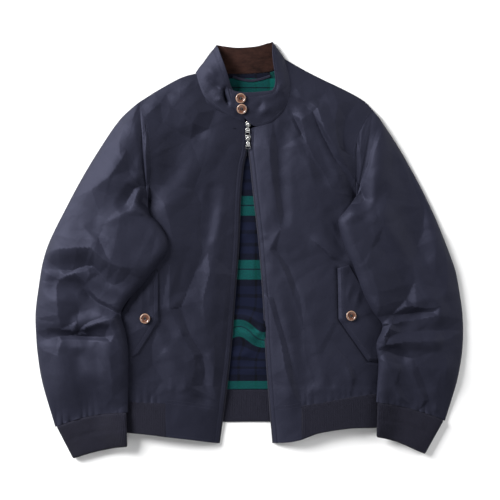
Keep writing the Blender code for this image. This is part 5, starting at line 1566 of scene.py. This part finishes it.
SLIDERS = {"upper": (225.4, -0.07), "lower": (201.0, 0.0)}   # y of the pull's bar, and its lean
SLIDER_X = -1.6
SLIDER_LEVELS = (6.9, 11.3)   # underside and top of a slider's body
ARCH = (3.9, 3.3, 10.8)   # half length, rise and foot of the arch that a pull hangs on
ARCH_RADIUS = 0.85
EYE_LEVELS, GRIP_LEVELS = (11.9, 13.2), (11.85, 13.0)
EYE_AT, GRIP_AT, HOLE_AT = (0, -2.4), (0, -12.7), (0, -17.1)   # from the pull's bar
turn = full_turn(72)
shield = np.column_stack([4.35 * np.sign(np.sin(turn)) * np.abs(np.sin(turn)) ** 0.75
                          * (1 + 0.16 * np.cos(turn)), 6.4 * np.cos(turn)])
tab = np.column_stack([(3.6 - 1.5 * np.cos(turn)) * np.sign(np.sin(turn))
                       * np.abs(np.sin(turn)) ** 0.45,
                       7.05 * np.sign(np.cos(turn)) * np.abs(np.cos(turn)) ** 0.5])
hole = np.column_stack([3.5 * np.sin(turn), 2.2 * np.cos(turn)])
ringed = np.column_stack([2.6 * np.sin(turn) * (1 - 0.25 * np.cos(turn)), 3.4 * np.cos(turn)])
t = np.linspace(0, math.pi, 15)
for name, (bar, lean) in SLIDERS.items():
    at = np.array((SLIDER_X, bar - 0.5))
    body = plate(shield + at, shield * 0.01 + at, *SLIDER_LEVELS)
    arch = np.column_stack([np.full(15, SLIDER_X), bar + ARCH[0] * np.cos(t),
                            ARCH[2] + ARCH[1] * np.sin(t)])
    wire = tube_along(arch[None], ARCH_RADIUS, 12)
    slider = add_surface(f"slider_{name}", *merged([body, wire]), zip_metal)
    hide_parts(f"zip_slider_{name}")
    eye = plate(ringed + EYE_AT, ringed * (0.45, 0.55) + EYE_AT, *EYE_LEVELS)
    grip = plate(tab + GRIP_AT, hole + HOLE_AT, *GRIP_LEVELS,
                 lambda x, y: 0.35 * np.sin((y + 8) * 2.1) * ease((y + 14.8) / 1.0))
    points, faces = merged([eye, grip])
    leaning = np.array(((math.cos(lean), math.sin(lean)), (-math.sin(lean), math.cos(lean))))
    points[:, :2] = points[:, :2] @ leaning + (SLIDER_X, bar)
    pull = add_surface(f"pull_{name}", points, faces, zip_metal, body=f"pull_{name}")
    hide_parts(f"zip_pull_{name}")

for side, lines in SIDES.items():
    centre = smooth_line(lines.centre, 3)[4:]
    sideways = sideways_of(centre) * (1 if side == "left" else -1)
    shifts = np.linspace(TAPE_UNDER, -TAPE_SHOW, 14)
    plan = centre[:, None] + sideways[:, None] * shifts[None, :, None]
    level = zip_edge_height(centre[:, 1]) - SEAM - LINING - 0.2
    bead = 0.35 * np.exp(-((shifts + TAPE_SHOW - 0.8) / 0.7) ** 2)
    tape = add_wall(f"{side}_zip_tape", raised(plan, level[:, None] + bead[None]), LINING - 0.3,
                    tape_cloth)
    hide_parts(f"zip_tape_{side}")
    count = int(steps_of(centre).sum() / TOOTH_PITCH)
    place = even_line(np.column_stack([centre, level]), count)
    ahead = unit(np.gradient(place, axis=0))
    across = np.cross(ahead, (0, 0, 1.0)) * (1 if side == "right" else -1)
    middle = place + across * (TAPE_SHOW - 0.5) + (0, 0, LINING - 0.2)
    shrink = np.where(corner_signs[:, 2:] > 0, 0.7, 1.0)
    blocks = (middle[:, None]
              + ahead[:, None] * (corner_signs[None, :, :1] * TOOTH[0] / 2 * shrink)
              + across[:, None] * (corner_signs[None, :, 1:2] * TOOTH[1] / 2 * shrink)
              + np.array((0, 0, 1.0)) * (corner_signs[None, :, 2:] * TOOTH[2] / 2))
    faces = (block[None] + 8 * np.arange(count)[:, None, None]).reshape(-1, 4)
    if side == "left":
        faces = faces[:, ::-1]
    teeth = add_surface(f"{side}_zip_teeth", blocks.reshape(-1, 3), faces, tooth_metal)
    teeth.data.polygons.foreach_set("use_smooth", np.zeros(len(faces), bool))


# ============================================================ buttons
# Four-hole buttons in amber brown with a raised rim, sewn with dark thread: two on the collar's
# tab, one on each pocket flap.  A highlight is painted paler on the rim, and shade darker round
# the holes.
BUTTON_THICK = 3.2
HOLE_OUT = 1.45           # x and y of a hole from the button's middle
HOLE_RADIUS = 1.15
THREAD_RADIUS = 0.19
BUTTON_TURNS = {"collar_button_upper": 8, "collar_button_lower": -12, "flap_button_right": 30,
                "flap_button_left": -20}    # degrees that each is turned by as it is sewn on


def horn(name):
    """Mottled horn: a stretched noise blends dark and light amber.

    A highlight is painted paler on the raised rim and shade darker round the sunk holes, both by
    the distance from the button's axis, which is the length of its grain coordinate.
    """
    disc = Finish(name, (0.36, 0.19, 0.10), 0.30, 0.0, 0.0, 0.8)
    grain = disc.grain()
    cloud = disc.noise(230.0, 4.0, 0.6, 1.2, disc.stretched(grain, (1.0, 2.6, 1.0)))
    mottled = disc.mix(cloud, (0.050, 0.015, 0.008), (0.150, 0.060, 0.034))
    far = disc.add("VectorMath", {"operation": "LENGTH"}, grain, give="Value")
    # Painted highlight: lighter colour on the raised rim, 6.6 to 8 mm from the button's axis.
    rim = disc.range(far, From_Min=0.0066, From_Max=0.0080)
    # Painted shade: near-black colour round the sunk holes, fading out from 2.2 to 3.6 mm off the
    # axis.
    eye = disc.range(far, From_Min=0.0022, From_Max=0.0036)
    paler = disc.mix(rim, mottled, (0.27, 0.165, 0.115))
    disc.link(disc.shader["Base Color"], disc.mix(eye, (0.014, 0.006, 0.004), paler))
    disc.shader["Specular Tint"].default_value = (1, 1, 1, 1)
    return disc.made


amber_horn = horn("amber_horn")
dark_thread = Finish("dark_thread", (0.020, 0.018, 0.022), 0.8, 0.0, 0.3).made

# Radius and height, from the middle of the top over the rim to the middle of the underside:
profile = np.array(((0.02, 2.0), (1.0, 2.0), (1.4, 2.0), (1.9, 2.0), (2.4, 2.0), (3.0, 2.0),
                    (3.6, 2.02), (4.4, 2.08), (5.2, 2.2), (5.9, 2.4), (6.4, 2.8), (6.9, 3.14),
                    (7.5, 3.2), (8.2, 3.02), (8.7, 2.6), (9.0, 1.9), (8.8, 1.1), (8.2, 0.5),
                    (6.4, 0.1), (3.0, 0.0), (0.02, 0.0)))
profile = read_at(profile, np.arange(21), np.linspace(0, 20, 61))
turn = full_turn(72)
disc = np.stack([profile[:, :1] * np.cos(turn), profile[:, :1] * np.sin(turn),
                 profile[:, 1:] + 0 * turn], axis=2)
holes = HOLE_OUT * np.array(((1, 1), (-1, 1), (-1, -1), (1, -1)))
near_hole = np.hypot(disc[..., :1] - holes[:, 0], disc[..., 1:2] - holes[:, 1]).min(-1)
top_side = (np.arange(61) < 30)[:, None]
disc[..., 2] -= top_side * 1.5 * ease((HOLE_RADIUS - near_hole) / 0.35)
index = np.arange(61 * 72).reshape(61, 72)
disc_faces = quads_round(index)
disc_ends = np.stack([index[0], index[-1, ::-1]])
t = np.linspace(0, 1, 9)
sewn = np.array([((1.45 - 2.9 * t), np.full(9, level), 0.9 + 1.5 * np.sin(math.pi * t) ** 0.5)
                 for level in (HOLE_OUT, -HOLE_OUT)]).transpose(0, 2, 1)
sewn = np.vstack([sewn, sewn + (0, 0.28, -0.08), sewn - (0, 0.28, 0.08)])
for name, degrees in BUTTON_TURNS.items():
    cad = np.zeros(3 * len(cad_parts[name].data.vertices))
    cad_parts[name].data.vertices.foreach_get("co", cad)
    cad = np.unique(np.round(cad.reshape(-1, 3) / MM, 3), axis=0)
    centre = (cad.min(0) + cad.max(0)) / 2
    facing = np.linalg.svd(cad - cad.mean(0))[2][2]
    facing = facing * np.sign(facing[2])
    right = unit(np.cross((0, 1.0, 0), facing))
    turned = math.radians(degrees)
    frame_x = right * math.cos(turned) + np.cross(facing, right) * math.sin(turned)
    axes = np.array([frame_x, np.cross(facing, frame_x), facing])
    foot = centre - facing * (BUTTON_THICK / 2 - 0.4)
    faces = [tuple(f) for f in disc_faces.tolist()] + [tuple(e) for e in disc_ends.tolist()]
    button = add_surface(f"{name}_horn", disc.reshape(-1, 3) @ axes + foot, faces, amber_horn,
                         grain=disc.reshape(-1, 3)[:, :2])
    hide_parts(name)
    points, faces = tube_along(sewn @ axes + foot, THREAD_RADIUS)
    add_surface(f"{name}_thread", points, faces, dark_thread)


# ============================================================ stitching
# Navy thread: topstitching beside the zip, round the flaps and the collar, along the armholes
# and the plain front ends, and small bar tacks below the collar, on the left rib's front end
# and at the flaps.
STITCH_PITCH = 2.7
STITCH_LENGTH = 2.0
STITCH_RADIUS = 0.24
ZIP_ROWS = (STITCH_IN, 1.6)        # distances of the two rows from the zip edge
HEM_ROWS = (4.0, 60.0, 66.0)       # and of the three above a front's plain end
ARMHOLE_STITCH_IN = 3.0
TACKS = (("right", -26, 218, 6, 0), ("left", 93.5, -277, 4, 0), ("right", -162, -36, 0, -6),
         ("left", 158, -32, 0, -6))    # front, middle, and length in x and y
navy_thread = Finish("navy_thread", (0.020, 0.021, 0.036), 0.6, 0.0, 0.05, 0.2).made


def stitches(name, line):
    """Row of stitches along a 3D line: each arches over its length by a quarter millimetre."""
    run = run_of(line)
    start = np.arange(1, run[-1] - STITCH_PITCH, STITCH_PITCH)
    t = np.linspace(0, 1, 5)
    at = start[:, None] + t[None] * STITCH_LENGTH
    paths = read_at(line, run, at)
    paths[..., 2] += 0.26 * np.sin(math.pi * t)[None] - 0.06
    add_surface(name, *tube_along(paths, STITCH_RADIUS), navy_thread)


def on_front(side, row):
    """Row in plan laid on the outer side of a front."""
    return raised(row, dressed_front(side, *xy(row)) + SHELL)


def beside(line, amount):
    """Line in plan moved to its left by an amount."""
    return line + sideways_of(line) * amount


for side, lines in SIDES.items():
    outwards = -1 if side == "right" else 1
    for number, amount in enumerate(ZIP_ROWS):
        row = beside(smooth_line(lines.centre, 3)[3:-1], outwards * amount)
        stitches(f"{side}_zip_stitches_{number}", on_front(side, row))
    row = beside(smooth_line(lines.armhole, 3)[2:-2], outwards * -ARMHOLE_STITCH_IN)
    stitches(f"{side}_armhole_stitches", on_front(side, row))
    hem_row = smooth_line(FRONT_HEM[side], 3)
    for number, up_by in enumerate(HEM_ROWS):
        row = hem_row + (0, up_by)
        row = row[np.abs(row[:, 0]) > np.abs(hem_row[-1, 0]) + 3]
        stitches(f"{side}_hem_stitches_{number}", on_front(side, row))
    ring = np.array(FLAPS[side], float)
    row = joined_lines([smooth_line(ring[[k, k + 1]], 2) for k in (1, 2, 3, 4)], 160)
    turn_in = 1 if side == "right" else -1
    row = beside(row, STITCH_IN * -turn_in)[3:-3]
    row = raised(row, dressed_flap(side, *xy(row)) + SHELL)
    stitches(f"{side}_flap_stitches", row)

collar_rows = crowded(30, 0.2, 0.5)
for number, share in enumerate((1 - STITCH_IN / COLLAR_DEEP, 0.07)):
    row = collar_outer[np.abs(collar_rows - share).argmin(), 6:-6]
    stitches(f"collar_stitches_{number}", row)

tacks = []
for side, x, y, dx, dy in TACKS:
    t = np.linspace(-0.5, 0.5, 12)
    zig = 0.9 * np.where(np.arange(12) % 2, 1, -1)
    px, py = x + dx * t + (zig if dx == 0 else 0), y + dy * t + (zig if dy == 0 else 0)
    tacks.append(np.column_stack([px, py, dressed_front(side, px, py) + SHELL + 0.2]))
add_surface("bar_tacks", *tube_along(np.array(tacks), 0.3), navy_thread)


# ============================================================ floor, light and camera
# A plain pale floor, soft studio lights from three sides, and a camera that looks straight
# down.
CAMERA_HEIGHT = 3.0
FRAME_WIDTH = 0.890       # metres across the picture
FRAME_LEVEL = 0.012       # at this height above the floor
SENSOR = 36.0
floor_finish = Finish("pale_floor", (0.86, 0.86, 0.86), 0.9, 0.0, 0.0, 0.1).made
floor_mesh = bpy.data.meshes.new("floor")
floor_mesh.from_pydata([(-4, -4, -0.0005), (4, -4, -0.0005), (4, 4, -0.0005), (-4, 4, -0.0005)],
                       [], [(0, 1, 2, 3)])
floor_mesh.materials.append(floor_finish)
floor = placed("floor", floor_mesh)
floor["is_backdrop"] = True

for name, place, size, power in (("soft_key", (-2.7, 1.65, 1.6), 1.7, 330.0),
                                 ("soft_side", (4.2, 1.5, 2.1), 2.2, 130.0),
                                 ("soft_foot", (0.3, -3.4, 3.6), 3.0, 64.0)):
    lamp = bpy.data.lights.new(name, "AREA")
    lamp.shape, lamp.size, lamp.energy = "SQUARE", size, power
    holder = placed(name, lamp)
    holder.location = place
    holder.rotation_euler = (math.atan2(math.hypot(place[0], place[1]), place[2]), 0,
                             math.atan2(place[0], -place[1]))

world = bpy.data.worlds.new("studio")
world.use_nodes = True
backdrop = world.node_tree.nodes["Background"].inputs
backdrop["Color"].default_value = (0.95, 0.97, 1.0, 1)
backdrop["Strength"].default_value = 0.14
bpy.context.scene.world = world
bpy.context.scene.view_settings.view_transform = "Standard"

camera = bpy.data.cameras.new("overhead")
camera.sensor_width = SENSOR
camera.lens = SENSOR * (CAMERA_HEIGHT - FRAME_LEVEL) / FRAME_WIDTH
camera.clip_end = 20.0
stand = placed("overhead", camera)
stand.location = (0.00178, 0.00134, CAMERA_HEIGHT)
bpy.context.scene.camera = stand

low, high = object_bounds()
